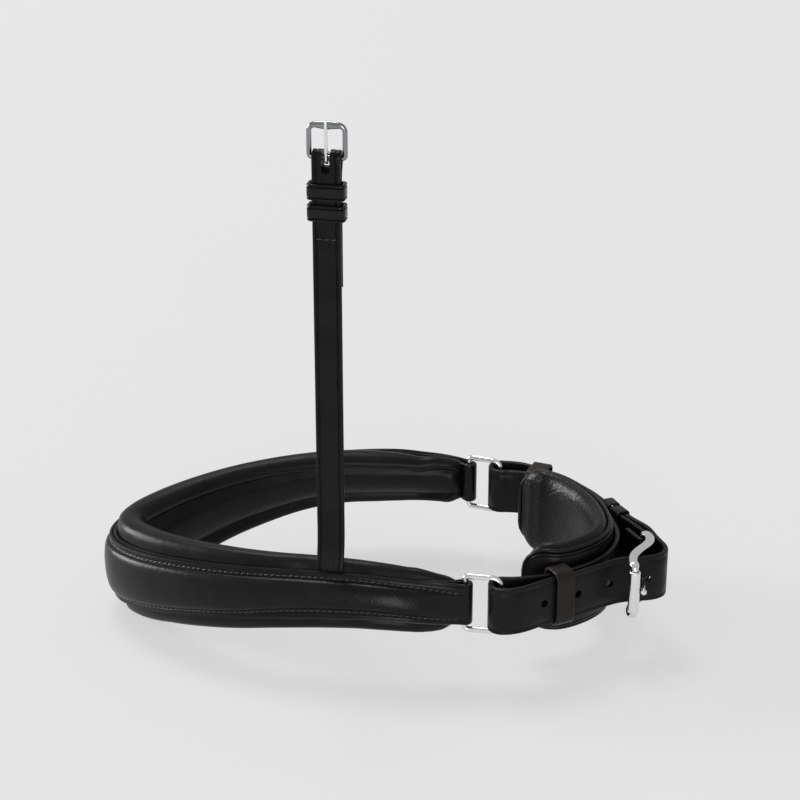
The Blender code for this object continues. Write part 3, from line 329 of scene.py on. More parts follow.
def strap_section(width, thick, edge=None, groove=0.22 * MM):
    """A strap's section with round edges; a crease follows each edge of its face, if edge says how near."""
    a, b = width / 2, thick / 2
    r = min(b, EDGE_ROUND)
    half = [(a, 0.0), (a - 0.12 * r, 0.5 * b), (a - 0.45 * r, 0.87 * b), (a - 1.1 * r, b)]
    back = [(-x, -y) for x, y in half[1:]] + [(-0.45 * a, -b), (0.0, -b)]
    if edge is not None:
        c = a - edge
        half += [(c + CREASE_HALF, b), (c + CREASE_FLOOR, b - groove)]
        half += [(c - CREASE_FLOOR, b - groove), (c - CREASE_HALF, b)]
    half += [(0.45 * a, b)]
    face = half + [(0.0, b)] + [(-x, y) for x, y in half[::-1]]
    return face + back + [(-x, y) for x, y in back[-2::-1]]


def wire_section(half_up, half_out, count=14):
    return [(half_up * cos(t), half_out * sin(t)) for t in np.linspace(0, 2 * pi, count, endpoint=False)]

# %% [markdown]
# ## Materials
#
# Finished bridle leather is dyed through, waxed and pressed, so it is nearly black with a soft
# gloss, a fine grain and faint cloudiness. The lining is softer, with more open grain. The two
# keepers of the chin pad are brown at heart. Each leather is one recipe with its own numbers, so
# that they look like one hide. The fittings are polished steel, and the small buckle is greyer.

# %% Leather material
def new_material(name):
    mat = bpy.data.materials.new(name)
    mat.use_nodes = True
    return mat, mat.node_tree.nodes, mat.node_tree.links


def add_node(nodes, kind, **values):
    """A node with values for its inputs; an underscore stands for the space in an input's name."""
    node = nodes.new("ShaderNode" + kind)
    for label, value in values.items():
        node.inputs[label.replace("_", " ")].default_value = value
    return node


def add_tones(nodes, dark, light, first=0.0, last=1.0):
    """A colour ramp from a dark tone to a light one."""
    ramp = add_node(nodes, "ValToRGB")
    for element, place, tone in zip(ramp.color_ramp.elements, (first, last), (dark, light)):
        element.position = place
        element.color = (*tone, 1)
    return ramp


def leather(name, dark, light, rough, grain, grain_size, wrinkle, gloss_level=0.20):
    """Leather with cloudy colour, a pebbled grain, soft undulation and an uneven gloss."""
    mat, nodes, links = new_material(name)
    shader = nodes["Principled BSDF"]
    shader.inputs["Specular IOR Level"].default_value = gloss_level
    where = add_node(nodes, "TexCoord").outputs["Object"]
    cloud = add_node(nodes, "TexNoise", Scale=55, Detail=6)
    links.new(where, cloud.inputs["Vector"])
    colour = add_tones(nodes, dark, light, 0.32, 0.72)
    links.new(cloud.outputs["Fac"], colour.inputs["Fac"])
    links.new(colour.outputs["Color"], shader.inputs["Base Color"])
    gloss = add_node(nodes, "MapRange", To_Min=rough - 0.07, To_Max=rough + 0.10)
    links.new(cloud.outputs["Fac"], gloss.inputs["Value"])
    links.new(gloss.outputs["Result"], shader.inputs["Roughness"])
    pebble = add_node(nodes, "TexVoronoi", Scale=grain_size)
    pebble.feature = "SMOOTH_F1"
    links.new(where, pebble.inputs["Vector"])
    fold = add_node(nodes, "TexNoise", Scale=130, Detail=3)
    links.new(where, fold.inputs["Vector"])
    soft = add_node(nodes, "Bump", Strength=wrinkle, Distance=0.0012)
    links.new(fold.outputs["Fac"], soft.inputs["Height"])
    fine = add_node(nodes, "Bump", Strength=grain, Distance=0.0002)
    links.new(pebble.outputs["Distance"], fine.inputs["Height"])
    links.new(soft.outputs["Normal"], fine.inputs["Normal"])
    links.new(fine.outputs["Normal"], shader.inputs["Normal"])
    return mat


black_leather = leather(
    "black_leather", (0.0022, 0.0022, 0.0024), (0.0060, 0.0060, 0.0064), 0.30, 0.35, 1300, 0.14)
strap_leather = leather(
    "strap_leather", (0.0020, 0.0021, 0.0020), (0.0058, 0.0062, 0.0058), 0.34, 0.6, 1100, 0.34, 0.17)
band_leather = leather(
    "band_leather", (0.0022, 0.0022, 0.0022), (0.0060, 0.0060, 0.0060), 0.22, 0.3, 1300, 0.10, 0.24)
lining_leather = leather(
    "lining_leather", (0.0024, 0.0024, 0.0026), (0.0060, 0.0064, 0.0062), 0.36, 0.35, 1100, 0.16, 0.18)
chin_leather = leather(
    "chin_leather", (0.0022, 0.0025, 0.0023), (0.0062, 0.0070, 0.0064), 0.36, 1.0, 620, 0.36, 0.19)
keeper_leather = leather(
    "keeper_leather", (0.006, 0.0045, 0.004), (0.020, 0.014, 0.011), 0.36, 0.3, 1500, 0.12)
filler_foam = leather(
    "filler_foam", (0.05, 0.05, 0.05), (0.09, 0.09, 0.09), 0.8, 0.6, 900, 0.3, 0.1)
# The stitch thread is black; its tone is raised to a dark grey as a painted highlight, so the stitches show
# as light dots.
thread_with_painted_glint = leather(
    "thread_with_painted_glint", (0.012, 0.012, 0.0125), (0.036, 0.036, 0.037), 0.38, 0.5, 2500, 0.2, 0.5)
leathers = black_leather, strap_leather, band_leather, lining_leather, chin_leather, keeper_leather
print("leathers", [mat.name for mat in leathers])

# %% Steel material
def steel(name, dark, light):
    """Polished steel, whose tone and gloss vary a little."""
    mat, nodes, links = new_material(name)
    shader = nodes["Principled BSDF"]
    shader.inputs["Metallic"].default_value = 1.0
    where = add_node(nodes, "TexCoord").outputs["Object"]
    wear = add_node(nodes, "TexNoise", Scale=260, Detail=4)
    links.new(where, wear.inputs["Vector"])
    tone = add_tones(nodes, dark, light)
    links.new(wear.outputs["Fac"], tone.inputs["Fac"])
    links.new(tone.outputs["Color"], shader.inputs["Base Color"])
    gloss = add_node(nodes, "MapRange", To_Min=0.12, To_Max=0.24)
    links.new(wear.outputs["Fac"], gloss.inputs["Value"])
    links.new(gloss.outputs["Result"], shader.inputs["Roughness"])
    bump = add_node(nodes, "Bump", Strength=0.06, Distance=0.0002)
    links.new(wear.outputs["Fac"], bump.inputs["Height"])
    links.new(bump.outputs["Normal"], shader.inputs["Normal"])
    return mat


bright_steel = steel("bright_steel", (0.76, 0.76, 0.77), (0.88, 0.88, 0.89))
grey_steel = steel("grey_steel", (0.20, 0.205, 0.21), (0.36, 0.365, 0.37))


def dress(obj, mat, body):
    """Gives a finished piece its material, in a single slot, and its body."""
    obj.data.materials.clear()
    obj.data.materials.append(mat)
    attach(obj, body)
    print(f"{obj.name}: {len(obj.data.polygons)} faces on {body}")

# %% [markdown]
# ## Raised nose cover
#
# The cover is one piece of leather pressed over a filler: a flat flange along each edge, with a
# crease and a row of stitches, and a raised band between. The band sinks towards the rings. The
# flange's form is a table of places in mm, inwards from the edge and outwards from its face. The
# filler stays as its solid, with a foam of its own.

# %% Nose cover
COVER_THICK = 1.6 * MM
COVER_FLANGE = 3.5 * MM
COVER_END_GAP = 1.5 * MM
RAISE_HEIGHT = 3.5 * MM
RAISE_END_HEIGHT = 0.5 * MM
RAISE_RUNOUT = 42 * MM
BOW_FULLNESS = 0.68
FLANGE_FORM = [
    (0, -1.4), (0, -0.55), (0.16, -0.2), (0.6, 0), (1.3, 0.02), (2.0, -0.02), (2.35, -0.26),
    (2.75, -0.26), (3.05, 0), (3.35, 0.05)]
COVER_LOWER = [  # mm by which the lower edge hangs lower, from a ring (0) to the nose (1)
    (0, 0), (0.15, 0), (0.28, -0.7), (0.38, -1.0), (0.5, -0.6), (0.62, 0.4), (0.75, 0.5), (0.9, 0), (1, 0)]


def from_ring(share, table):
    """What a table in mm says at a share of the path; its places run from a ring to the nose."""
    return np.interp(2 * min(share, 1 - share), *zip(*table)) * MM


def nose_shares(end_gap, count):
    start = end_gap / NOSE_LENGTH
    return np.linspace(start, 1 - start, count)


def raise_height(share):
    return RAISE_END_HEIGHT + (RAISE_HEIGHT - RAISE_END_HEIGHT) * ease(end_distance(share) / RAISE_RUNOUT)


def bow(half_width, height, base, count=13):
    """A raised band from one side to the other, steep at its feet and rounded over."""
    turns = [pi * (k + 1) / (count + 1) for k in range(count)]
    return [(half_width * cos(t), base + height * sin(t) ** BOW_FULLNESS) for t in turns]


cover_shares = nose_shares(COVER_END_GAP, 190)


def cover_section(k):
    height = raise_height(cover_shares[k])
    a = nose_form(cover_shares[k])[2] / 2
    d = a - COVER_FLANGE
    lower = from_ring(cover_shares[k], COVER_LOWER)
    flange = [(a - inwards * MM, outwards * MM) for inwards, outwards in FLANGE_FORM]
    outer = flange + bow(d, height, 0) + [(-x, y) for x, y in flange[::-1]]
    outer = [(x + lower * (x / d) ** 2 if x < 0 else x, y) for x, y in outer]
    foot = d - COVER_THICK
    inner = bow(foot, height, -COVER_THICK)[::-1]
    return outer + [(-foot, -COVER_THICK)] + inner + [(foot, -COVER_THICK)]


filler = bpy.data.objects["nose_raise_core"]
filler.data.materials.clear()
filler.data.materials.append(filler_foam)
cover_stations = [nose_station(share) for share in cover_shares]
nose_cover = laid("nose_cover_leather", cover_stations, cover_section)
dress(nose_cover, black_leather, "noseband")
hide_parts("nose_cover")

# %% [markdown]
# ## Stitches
#
# A stitch is a short waxed thread that dips into the leather at both ends. One is shaped from a
# sphere, and copies of it are set along a seam at 3 mm, each turned a little across the row.

# %% Stitches
STITCH_STEP = 3.0 * MM
STITCH_HALVES = np.array([1.25, 0.36, 0.30]) * MM
STITCH_DIP = 0.22 * MM
STITCH_SLANT = 0.16


def stitch_row(name, points, outs, size):
    """Stitches along a line of points; outs are the leather's own outward ways there."""
    points, outs = np.array(points), np.array(outs)
    along = lengths_along(points)
    count = int(along[-1] / STITCH_STEP)
    first = fresh(bpy.ops.mesh.primitive_uv_sphere_add, segments=8, ring_count=6, radius=1)
    flat = points_of(first)
    flat *= STITCH_HALVES * size
    flat[:, 2] -= (flat[:, 0] / (STITCH_HALVES[0] * size)) ** 2 * STITCH_DIP
    copies = [first]
    for _ in range(count - 1):
        copy = first.copy()
        copy.data = first.data.copy()
        bpy.context.collection.objects.link(copy)
        copies.append(copy)
    for k, copy in enumerate(copies):
        s = (k + 0.5) * along[-1] / count
        place, ahead, behind = read_off([s, s + MM, s - MM], along, points)
        out = unit(read_off(s, along, outs))
        way = unit(ahead - behind)
        way = unit(way + STITCH_SLANT * unit(np.cross(out, way)))
        side = np.cross(out, way)
        sewn = place + NOSE_TIP + flat[:, :1] * way + flat[:, 1:2] * side + flat[:, 2:] * out
        move_points(copy, sewn)
        copy.select_set(True)
    bpy.context.view_layer.objects.active = first
    bpy.ops.object.join()
    first.name = first.data.name = name
    bpy.ops.object.shade_smooth()
    return first


NOSE_STITCH_INSET = 2.55 * MM
NOSE_STITCH_SINK = 0.12 * MM
stitch_shares = nose_shares(4 * MM, 200)
stations = [nose_station(share) for share in stitch_shares]
for name, sign in (("nose_stitches_top", 1), ("nose_stitches_bottom", -1)):
    row = []
    for share, station in zip(stitch_shares, stations):
        half = nose_form(share)[2] / 2 - NOSE_STITCH_INSET
        if sign < 0:
            half -= from_ring(share, COVER_LOWER)
        row.append(station.origin + sign * half * station.up - NOSE_STITCH_SINK * station.out)
    stitches = stitch_row(name, row, [station.out for station in stations], 1.2)
    dress(stitches, thread_with_painted_glint, "noseband")

# %% [markdown]
# ## Load-bearing nose strap
#
# Under the cover runs the strap that takes the pull. Its edges show as a second line beside the
# cover's, and each end turns round the bar of a ring and is stitched back on itself.

# %% Nose strap
CLEAR = 0.3 * MM
RING_WIRE = 1.45 * MM
NOSE_STRAP_THICK = 2.2 * MM
STRAP_PROUD = 1.0 * MM
STRAP_END_PROUD = 1.4 * MM
STRAP_MID = -COVER_THICK - CLEAR - NOSE_STRAP_THICK / 2
EYE_RADIUS = RING_WIRE + CLEAR + NOSE_STRAP_THICK / 2
EYE_OFFSET = STRAP_MID - EYE_RADIUS
CLOSED_MID = STRAP_MID - NOSE_STRAP_THICK - CLEAR
TURNBACK = 22 * MM
TURNBACK_CLOSE = 8 * MM


def strap_width(share):
    extra = STRAP_END_PROUD * (1 - ease(end_distance(share) / LEAN_RUNOUT))
    return nose_form(share)[2] + STRAP_PROUD + extra


def nose_bar(side):
    """The nose side bar of a ring: its place, and the ways along and out there."""
    station = nose_station(0.0 if side > 0 else 1.0)
    along = side * np.cross(station.out, UP)
    return station.origin + EYE_OFFSET * station.out, unit(along), station.out


def turned_end(side):
    """Stations from the start of the ring's loop, round it and back behind the strap."""
    centre, along, out = nose_bar(side)
    frames = []
    for turn in np.linspace(0.1 * pi, pi, 12):
        way = cos(turn) * out + sin(turn) * along
        frames.append(Station(centre + EYE_RADIUS * way, UP, way))
    for distance in np.linspace(1.5 * MM, TURNBACK, 14):
        share = distance / NOSE_LENGTH
        station = nose_station(share if side > 0 else 1 - share)
        opening = 1 - ease(distance / TURNBACK_CLOSE)
        mid = CLOSED_MID + (EYE_OFFSET - EYE_RADIUS - CLOSED_MID) * opening
        frames.append(Station(station.origin + mid * station.out, station.up, -station.out))
    return frames


strap_shares = nose_shares(0.0, 180)
main_frames = []
for share in strap_shares:
    station = nose_station(share)
    main_frames.append(station._replace(origin=station.origin + STRAP_MID * station.out))
ends = turned_end(1), turned_end(-1)
widths = [strap_width(0.0)] * len(ends[0]) + [strap_width(share) for share in strap_shares]
widths += [strap_width(1.0)] * len(ends[1])
route = ends[0][::-1] + main_frames + ends[1]
nose_strap = laid("nose_strap_leather", route, lambda k: strap_section(widths[k], NOSE_STRAP_THICK))
dress(nose_strap, black_leather, "noseband")
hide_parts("nose_strap")

# %% [markdown]
# ## Padded nose piece
#
# Soft leather is drawn over foam and sewn down along two channels, so the pad shows a roll at
# each edge and a broad pillow between. The channels are part of the section: they stay narrow
# and deep while the leather between them swells. The pad thins towards the rings, where it lies
# on the strap's turned-back end, and it makes room for the hanger's tab.

# %% Nose pad
NOSE_PAD_THICK = 12.6 * MM
NOSE_PAD_END_GAP = 3.5 * MM
NOSE_ROLL = 2.6 * MM
PAD_LOWER = [(0.38, 0.7), (0.5, 0.4), (0.62, -0.3), (0.74, -0.8), (0.88, 0), (1, 0)]
NEAR_PAD_LOWER = [(0, 1.2), (0.04, 1.2), (0.075, 0.6), (0.13, -0.9), (0.25, -0.4)] + PAD_LOWER
FAR_PAD_LOWER = [(0, -2.4), (0.07, -2.0), (0.13, -0.9), (0.19, 0.3), (0.25, 0.7)] + PAD_LOWER
NEAR_PAD_END = (0.70, 22 * MM, NEAR_PAD_LOWER)  # share of the height at the ring, runout, lower edge
FAR_PAD_END = (0.84, 18 * MM, FAR_PAD_LOWER)
PAD_END_BACK = CLOSED_MID - NOSE_STRAP_THICK / 2 - 3 * CLEAR
PAD_BACK = STRAP_MID - NOSE_STRAP_THICK / 2 - CLEAR
PAD_BACK_RUNOUT = 50 * MM
PAD_THICK_RUNOUT = 55 * MM
TAB_ROOM = 1.6 * MM
TAB_PLACE = 66.8 * MM  # from the near ring
TAB_REACH = 9 * MM
TAB_RUNOUT = 14 * MM
NOSE_PAD_HALF = [  # half a section, as shares of half the height and of the thickness
    (0.0, 0.0), (0.45, 0.0), (0.78, 0.0), (0.91, 0.06), (0.98, 0.20), (1.005, 0.40), (0.985, 0.60),
    (0.935, 0.76), (0.86, 0.87), (0.78, 0.90), (0.70, 0.85), (0.64, 0.77), (0.60, 0.70), (0.575, 0.68),
    (0.545, 0.71), (0.49, 0.81), (0.41, 0.90), (0.29, 0.97), (0.15, 1.01), (0.0, 1.02)]


def mirrored(half):
    return half + [(-a, b) for a, b in half[-2:0:-1]]


pad_shares = nose_shares(NOSE_PAD_END_GAP, 200)


def nose_pad_section(k):
    share = pad_shares[k]
    distance = end_distance(share)
    inside = distance - NOSE_PAD_END_GAP
    rounded = min(1.0, ((inside + 0.3 * MM) / (4 * MM)) ** 0.5)
    back = PAD_END_BACK + (PAD_BACK - PAD_END_BACK) * ease((distance - TURNBACK) / PAD_BACK_RUNOUT)
    from_tab = abs((1 - share) * NOSE_LENGTH - TAB_PLACE)
    back -= TAB_ROOM * (1 - ease((from_tab - TAB_REACH) / TAB_RUNOUT))
    half = nose_form(share)[3] / 2 * (0.92 + 0.08 * rounded)
    first, runout, lower = FAR_PAD_END if share < 0.5 else NEAR_PAD_END
    top = half * grown(first, inside, runout)
    bottom = half * grown(0.84, inside, 8 * MM) + from_ring(share, lower)
    thick = NOSE_PAD_THICK + NOSE_ROLL * ease((2 * min(share, 1 - share) - 0.6) / 0.3)
    thick *= grown(0.60, inside, PAD_THICK_RUNOUT) * (0.35 + 0.65 * rounded)
    return [(a * (top if a > 0 else bottom), back - b * thick) for a, b in mirrored(NOSE_PAD_HALF)]


pad_stations = [nose_station(share) for share in pad_shares]
nose_pad = laid("nose_pad_cushion", pad_stations, nose_pad_section, smooth_angle=60)
pad_points = points_of(nose_pad)
pad_points[:, 2] = np.maximum(pad_points[:, 2], 0.0)  # the pad is flat where it rests
move_points(nose_pad, pad_points)
dress(nose_pad, lining_leather, "noseband")
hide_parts("nose_pad_liner", "nose_pad_foam")

# %% [markdown]
# ## Rings
#
# Each ring is a round wire bent to a square with rounded corners. The section of a torus is laid
# round that square.

# %% Rings
RING_RISE = 1 * MM
RING_LENGTH = 17.3 * MM
RING_OPENING = 25 * MM
RING_CORNERS = (1.9 * MM, 4.6 * MM, 4.6 * MM, 1.9 * MM)
TOE_IN = {1: 5.7 * MM, -1: -2.5 * MM}


def ring_places(side):
    bar = nose_bar(side)[0]
    toe = side * TOE_IN[side] / RING_LENGTH
    ahead = np.array([(1 - toe ** 2) ** 0.5, -toe, 0.0])
    return bar, bar + RING_LENGTH * ahead, ahead


for name, side in (("near_ring", -1), ("far_ring", 1)):
    bar, _, ahead = ring_places(side)
    middle = bar + ahead * RING_LENGTH / 2
    box = divided(rounded_box(RING_LENGTH / 2, RING_OPENING / 2 + RING_WIRE, RING_CORNERS), 2 * MM)
    frames = loop_frames([middle + x * ahead + z * UP for x, z in box], [np.cross(ahead, UP)] * len(box))
    ring = laid(name + "_wire", frames, lambda k: wire_section(RING_WIRE, RING_WIRE), closed=True)
    dress(ring, bright_steel, name)
    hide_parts(name)

# %% [markdown]
# ## Crank strap
#
# One strap leaves the buckle's heel, turns round the far ring, passes behind the chin, turns
# round the near ring and comes back through the buckle to its tip on the far side. It is laid in
# one go along the whole line, and its holes are punched afterwards, as at the bench. The hole in
# use is drawn out long by the prong.

# %% Crank strap line
CRANK_WIDTH = 24 * MM
CRANK_THICK = 2.4 * MM
CRANK_CREASE = 2.2 * MM
CRANK_POINT = 11 * MM
CHIN_REACH = 95 * MM
CHAPE_LENGTH = 10 * MM
TIP_SHARES = (0.17, 0.22, 0.27, 0.32, 0.365)
FOLD_RADIUS = 6 * MM
FOLD_PLAY = 2.4 * MM
BUCKLE_WIRE = 1.5 * MM
FAR_RUN = [
    (0.886, -0.097), (0.838, 0.008), (0.781, 0.132), (0.731, 0.277), (0.667, 0.432),
    (0.588, 0.573), (0.485, 0.713), (0.382, 0.826), (0.284, 0.903)]
INNER_RUN = [
    (0.279, 0.753), (0.368, 0.717), (0.468, 0.646), (0.563, 0.524), (0.648, 0.359),
    (0.722, 0.150), (0.764, -0.062), (0.772, -0.248), (0.740, -0.414), (0.674, -0.563),
    (0.584, -0.679), (0.484, -0.767), (0.379, -0.830), (0.284, -0.863)]
NEAR_RUN = [
    (0.295, -0.993), (0.405, -0.886), (0.508, -0.806), (0.608, -0.716), (0.703, -0.625),
    (0.795, -0.560), (0.884, -0.535), (0.948, -0.514), (0.996, -0.466), (1.010, -0.385),
    (0.986, -0.285), (0.959, -0.185), (0.937, -0.103), (0.912, -0.048), (0.864, 0.033)]
CHIN_PAD = [
    (0.276, -0.612), (0.366, -0.650), (0.466, -0.666), (0.562, -0.610), (0.648, -0.514),
    (0.716, -0.392), (0.749, -0.241), (0.743, -0.069), (0.703, 0.138), (0.628, 0.337),
    (0.542, 0.490), (0.442, 0.593), (0.340, 0.628), (0.270, 0.622)]
RAIL = [
    (0.903, -0.228), (0.929, -0.290), (0.924, -0.379), (0.879, -0.476), (0.842, -0.572),
    (0.834, -0.648), (0.842, -0.724)]


def place(share):
    """A plan place from shares of the reach past the ring bars and of the arms' spread."""
    return np.array([NOSE_REACH + share[0] * CHIN_REACH, share[1] * ARM_SPREAD])


HEEL, ROLLER = place(RAIL[0]), place(RAIL[-1])
HEEL_EYE = BUCKLE_WIRE + CLEAR + CRANK_THICK / 2
HEEL_TURN = radians(117.4)
HEEL_ALONG = np.array([cos(HEEL_TURN), sin(HEEL_TURN)])
HEEL_OUT = np.array([sin(HEEL_TURN), -cos(HEEL_TURN)])


def ring_fold(side, start, end):
    """Plan points of the strap's loose turn round a ring's strap bar."""
    _, bar, _ = ring_places(side)
    reach = RING_WIRE + FOLD_PLAY + CRANK_THICK / 2
    return arc(bar[:2] + [FOLD_RADIUS - reach, 0], FOLD_RADIUS, start, end, 9)


def tip_run(far):
    """Plan points of the strap's tip, flat on the outside of the far run."""
    line = smooth_line(far, 201)
    points = []
    for share in TIP_SHARES:
        k = int(share * 200)
        way = unit(line[k + 1] - line[k - 1])
        points.append(line[k] + (CRANK_THICK + 2 * CLEAR) * np.array([way[1], -way[0]]))
    return points


far_run, inner_run, near_run = [[place(share) for share in run] for run in (FAR_RUN, INNER_RUN, NEAR_RUN)]
near_run = near_run + tip_run(far_run)
chape = [HEEL - HEEL_EYE * HEEL_OUT + CHAPE_LENGTH * HEEL_ALONG * share for share in (1, 0.5)]
heel_turn = arc(HEEL, HEEL_EYE, HEEL_TURN - 1.5 * pi, HEEL_TURN - 0.5 * pi, 9)
crank_points = chape + heel_turn + far_run + ring_fold(1, 0.42 * pi, 1.58 * pi) + inner_run
crank_points += ring_fold(-1, 0.44 * pi, 1.56 * pi) + near_run
crank_line = smooth_line(crank_points, 520)
crank_along = lengths_along(crank_line)
print("crank strap", round(crank_along[-1] * 1000), "mm")

# %% Crank strap
def crank_section(k):
    left = crank_along[-1] - crank_along[k]
    point = min(1.0, 0.35 + 0.65 * (max(left, 0) / CRANK_POINT) ** 0.6)
    return strap_section(CRANK_WIDTH * point, CRANK_THICK, CRANK_CREASE)


crank_strap = laid("crank_strap_leather", plan_frames(crank_line, RING_RISE), crank_section)

# %% Holes of the crank strap
HOLE_STEP = 19 * MM
HOLE_HALVES = (1.9 * MM, 1.9 * MM)
BUCKLED_PLACE = (0.905, -0.529)
BUCKLED_HALVES = (2.9 * MM, 1.45 * MM)
HEEL_SLOT_HALVES = (5.4 * MM, 2.2 * MM)
HEEL_SLOT_DEPTH = 6 * MM


def cut_away(obj, cutter, places):
    """Puts a cutter's points in their places and takes its shape out of a piece."""
    move_points(cutter, places)
    bpy.ops.object.mode_set(mode="EDIT")
    bpy.ops.mesh.select_all(action="SELECT")
    bpy.ops.mesh.normals_make_consistent(inside=False)
    bpy.ops.object.mode_set(mode="OBJECT")
    bpy.context.view_layer.objects.active = obj
    cut = obj.modifiers.new("cut", "BOOLEAN")
    cut.operation, cut.solver, cut.object = "DIFFERENCE", "EXACT", cutter
    bpy.ops.object.modifier_apply(modifier=cut.name)
    bpy.data.objects.remove(cutter)


def cut_hole(obj, centre, way, half_length, half_height, depth):
    """Punches a round-ended hole through a strap with a rounded cutter."""
    cutter = fresh(bpy.ops.mesh.primitive_cylinder_add, vertices=24, radius=1, depth=2)
    out = np.array([way[1], -way[0], 0.0])
    flat = points_of(cutter)
    flat[:, 0] = flat[:, 0] * half_height + np.sign(flat[:, 0]) * (half_length - half_height)
    places = in_plan(centre, RING_RISE) + NOSE_TIP + flat[:, :1] * in_plan(way)
    cut_away(obj, cutter, places + flat[:, 1:2] * half_height * UP + flat[:, 2:] * depth * out)


def crank_walk(distance):
    """Place and way on the crank strap, so far on from the buckled hole."""
    buckled = int(np.argmin(np.linalg.norm(crank_line - place(BUCKLED_PLACE), axis=1)))
    start = crank_along[buckled] + distance
    spot, ahead = read_off([start, start + MM], crank_along, crank_line)
    return spot, unit(ahead - spot)


for number in range(-3, 2):
    halves = HOLE_HALVES if number else BUCKLED_HALVES
    cut_hole(crank_strap, *crank_walk(number * HOLE_STEP), *halves, CRANK_THICK)
cut_hole(crank_strap, HEEL, HEEL_ALONG, *HEEL_SLOT_HALVES, HEEL_SLOT_DEPTH)
bpy.context.view_layer.objects.active = crank_strap
bpy.ops.object.shade_smooth_by_angle(angle=radians(40))
dress(crank_strap, strap_leather, "crank")
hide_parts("crank_strap")

# %% [markdown]
# ## Crank buckle
#
# The frame is a long loop, bent along the run of the strap. Its bars are round and its two long
# rails are flattened. The roller turns on the outer bar, and the prong hangs on the heel bar: a
# flattened wire that ends in a small ball beyond the roller.

# %% Crank buckle
RAIL_WIDTH = 4.5 * MM
RAIL_THICK = 2.4 * MM
BUCKLE_HEIGHT = 25 * MM
BUCKLE_CORNER = 2.4 * MM
ROLLER_RADIUS = 2.7 * MM
rail_line = smooth_line([place(share) for share in RAIL], 81)
rail_along = lengths_along(rail_line)
half_rail = rail_along[-1] / 2
half_height = (BUCKLE_HEIGHT + RAIL_THICK) / 2
points, normals, flatness = [], [], []
for x, z in divided(rounded_box(half_rail, half_height, [BUCKLE_CORNER] * 4), 1.5 * MM):
    here = x + half_rail
    spot, ahead, behind = read_off([here, here + MM, here - MM], rail_along, rail_line)
    way = unit(ahead - behind)
    points.append(in_plan(spot, RING_RISE + z))
    normals.append(np.array([way[1], -way[0], 0.0]))
    flatness.append(ease((abs(z) - half_height + BUCKLE_CORNER) / BUCKLE_CORNER))


def frame_section(k):
    half_up = BUCKLE_WIRE + (RAIL_WIDTH / 2 - BUCKLE_WIRE) * flatness[k]
    half_out = BUCKLE_WIRE + (RAIL_THICK / 2 - BUCKLE_WIRE) * flatness[k]
    return wire_section(half_up, half_out, 16)


buckle_frame = laid("crank_buckle_frame_bars", loop_frames(points, normals), frame_section, closed=True)
dress(buckle_frame, bright_steel, "crank_buckle_frame")
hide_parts("crank_buckle_frame")

# %% Roller
ROLLER_GAP = 0.4 * MM
half = half_height - BUCKLE_CORNER - ROLLER_GAP
bore = BUCKLE_WIRE + CLEAR
wall = [
    (half - 0.1 * MM, bore), (half, bore + 0.25 * MM), (half - 0.1 * MM, ROLLER_RADIUS - 0.3 * MM),
    (half - 0.5 * MM, ROLLER_RADIUS), (half - 1.2 * MM, ROLLER_RADIUS), (0.0, ROLLER_RADIUS)]
wall += [(-a, b) for a, b in wall[-2::-1]]
turns = [Station(in_plan(ROLLER, RING_RISE), UP, np.array([cos(t), sin(t), 0.0]))
         for t in np.linspace(0, 2 * pi, 40, endpoint=False)]
roller = laid("crank_roller_tube", turns, lambda k: wall, closed=True)
dress(roller, bright_steel, "crank_roller")
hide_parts("crank_roller")

# %% Prong
PRONG_MID = 1.0 * MM
PRONG_HALVES = (1.2 * MM, 0.95 * MM)
KNOB = 1.5 * MM
KNOB_SINK = 0.55 * MM
eye = BUCKLE_WIRE + CLEAR + PRONG_MID
rest = ROLLER + [ROLLER_RADIUS + CLEAR + PRONG_MID, 0]
turn = atan2(*(rest - HEEL - [eye, 0])[::-1]) + pi / 2
start = HEEL + eye * np.array([cos(turn), sin(turn)])
ahead = unit(rest - start)
shank = float(np.linalg.norm(rest - start)) - 1.4 * MM
prong_points = arc(HEEL, eye, turn + 1.45 * pi, turn, 24)
prong_points += [start + ahead * shank * k / 12 for k in range(1, 13)]
prong_sizes = [(*PRONG_HALVES, 0.0)] * len(prong_points)
for k in range(1, 12):
    along = -1 + 2 * k / 12
    size = max(KNOB * max(1 - along ** 2, 0.02) ** 0.5, 0.3 * MM)
    prong_points.append(start + ahead * (shank + KNOB * (1 + along)))
    prong_sizes.append((size, size, -KNOB_SINK * ease(k / 4)))


def prong_section(k):
    half_up, half_out, shift = prong_sizes[k]
    return [(a, b + shift) for a, b in wire_section(half_up, half_out, 16)]


prong = laid("crank_prong_wire", plan_frames(prong_points, RING_RISE), prong_section)
dress(prong, bright_steel, "crank_prong")
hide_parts("crank_prong")

# %% [markdown]
# ## Keepers
#
# A keeper is a short band of leather whose ends meet under the strap. Its edges are rounded and a
# crease follows each of them. The band is laid round a rounded box that holds the strap, or the
# straps, which pass through it.

# %% Keepers
KEEPER_CREASE = 1.3 * MM
BAND_WIDTH = 7.2 * MM
BAND_THICK = 0.9 * MM


def keeper(name, points, way, width, thick, mat, body, node, groove=0.28 * MM):
    """A band laid round a strap, through points that run round it."""
    frames = loop_frames(points, [way] * len(points))
    band = laid(
        name, frames, lambda k: strap_section(width, thick, KEEPER_CREASE, groove), closed=True)
    dress(band, mat, body)
    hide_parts(node)


def box_round(spot, way, low, high, half_height, thick, corner=1.6 * MM):
    """Points round a strap, from `low` to `high` to the right of the way along it."""
    side = np.cross(way, UP)
    depth = (high - low + thick) / 2
    middle = spot + side * (high + low) / 2
    box = divided(rounded_box(depth, half_height + thick / 2, [corner] * 4), 2.5 * MM)
    return [middle + x * side + y * np.cross(side, way) for x, y in box]


def run_spot(run, share):
    line = smooth_line(run, 201)
    k = int(share * 200)
    return in_plan(line[k], RING_RISE), in_plan(unit(line[k + 1] - line[k - 1]))


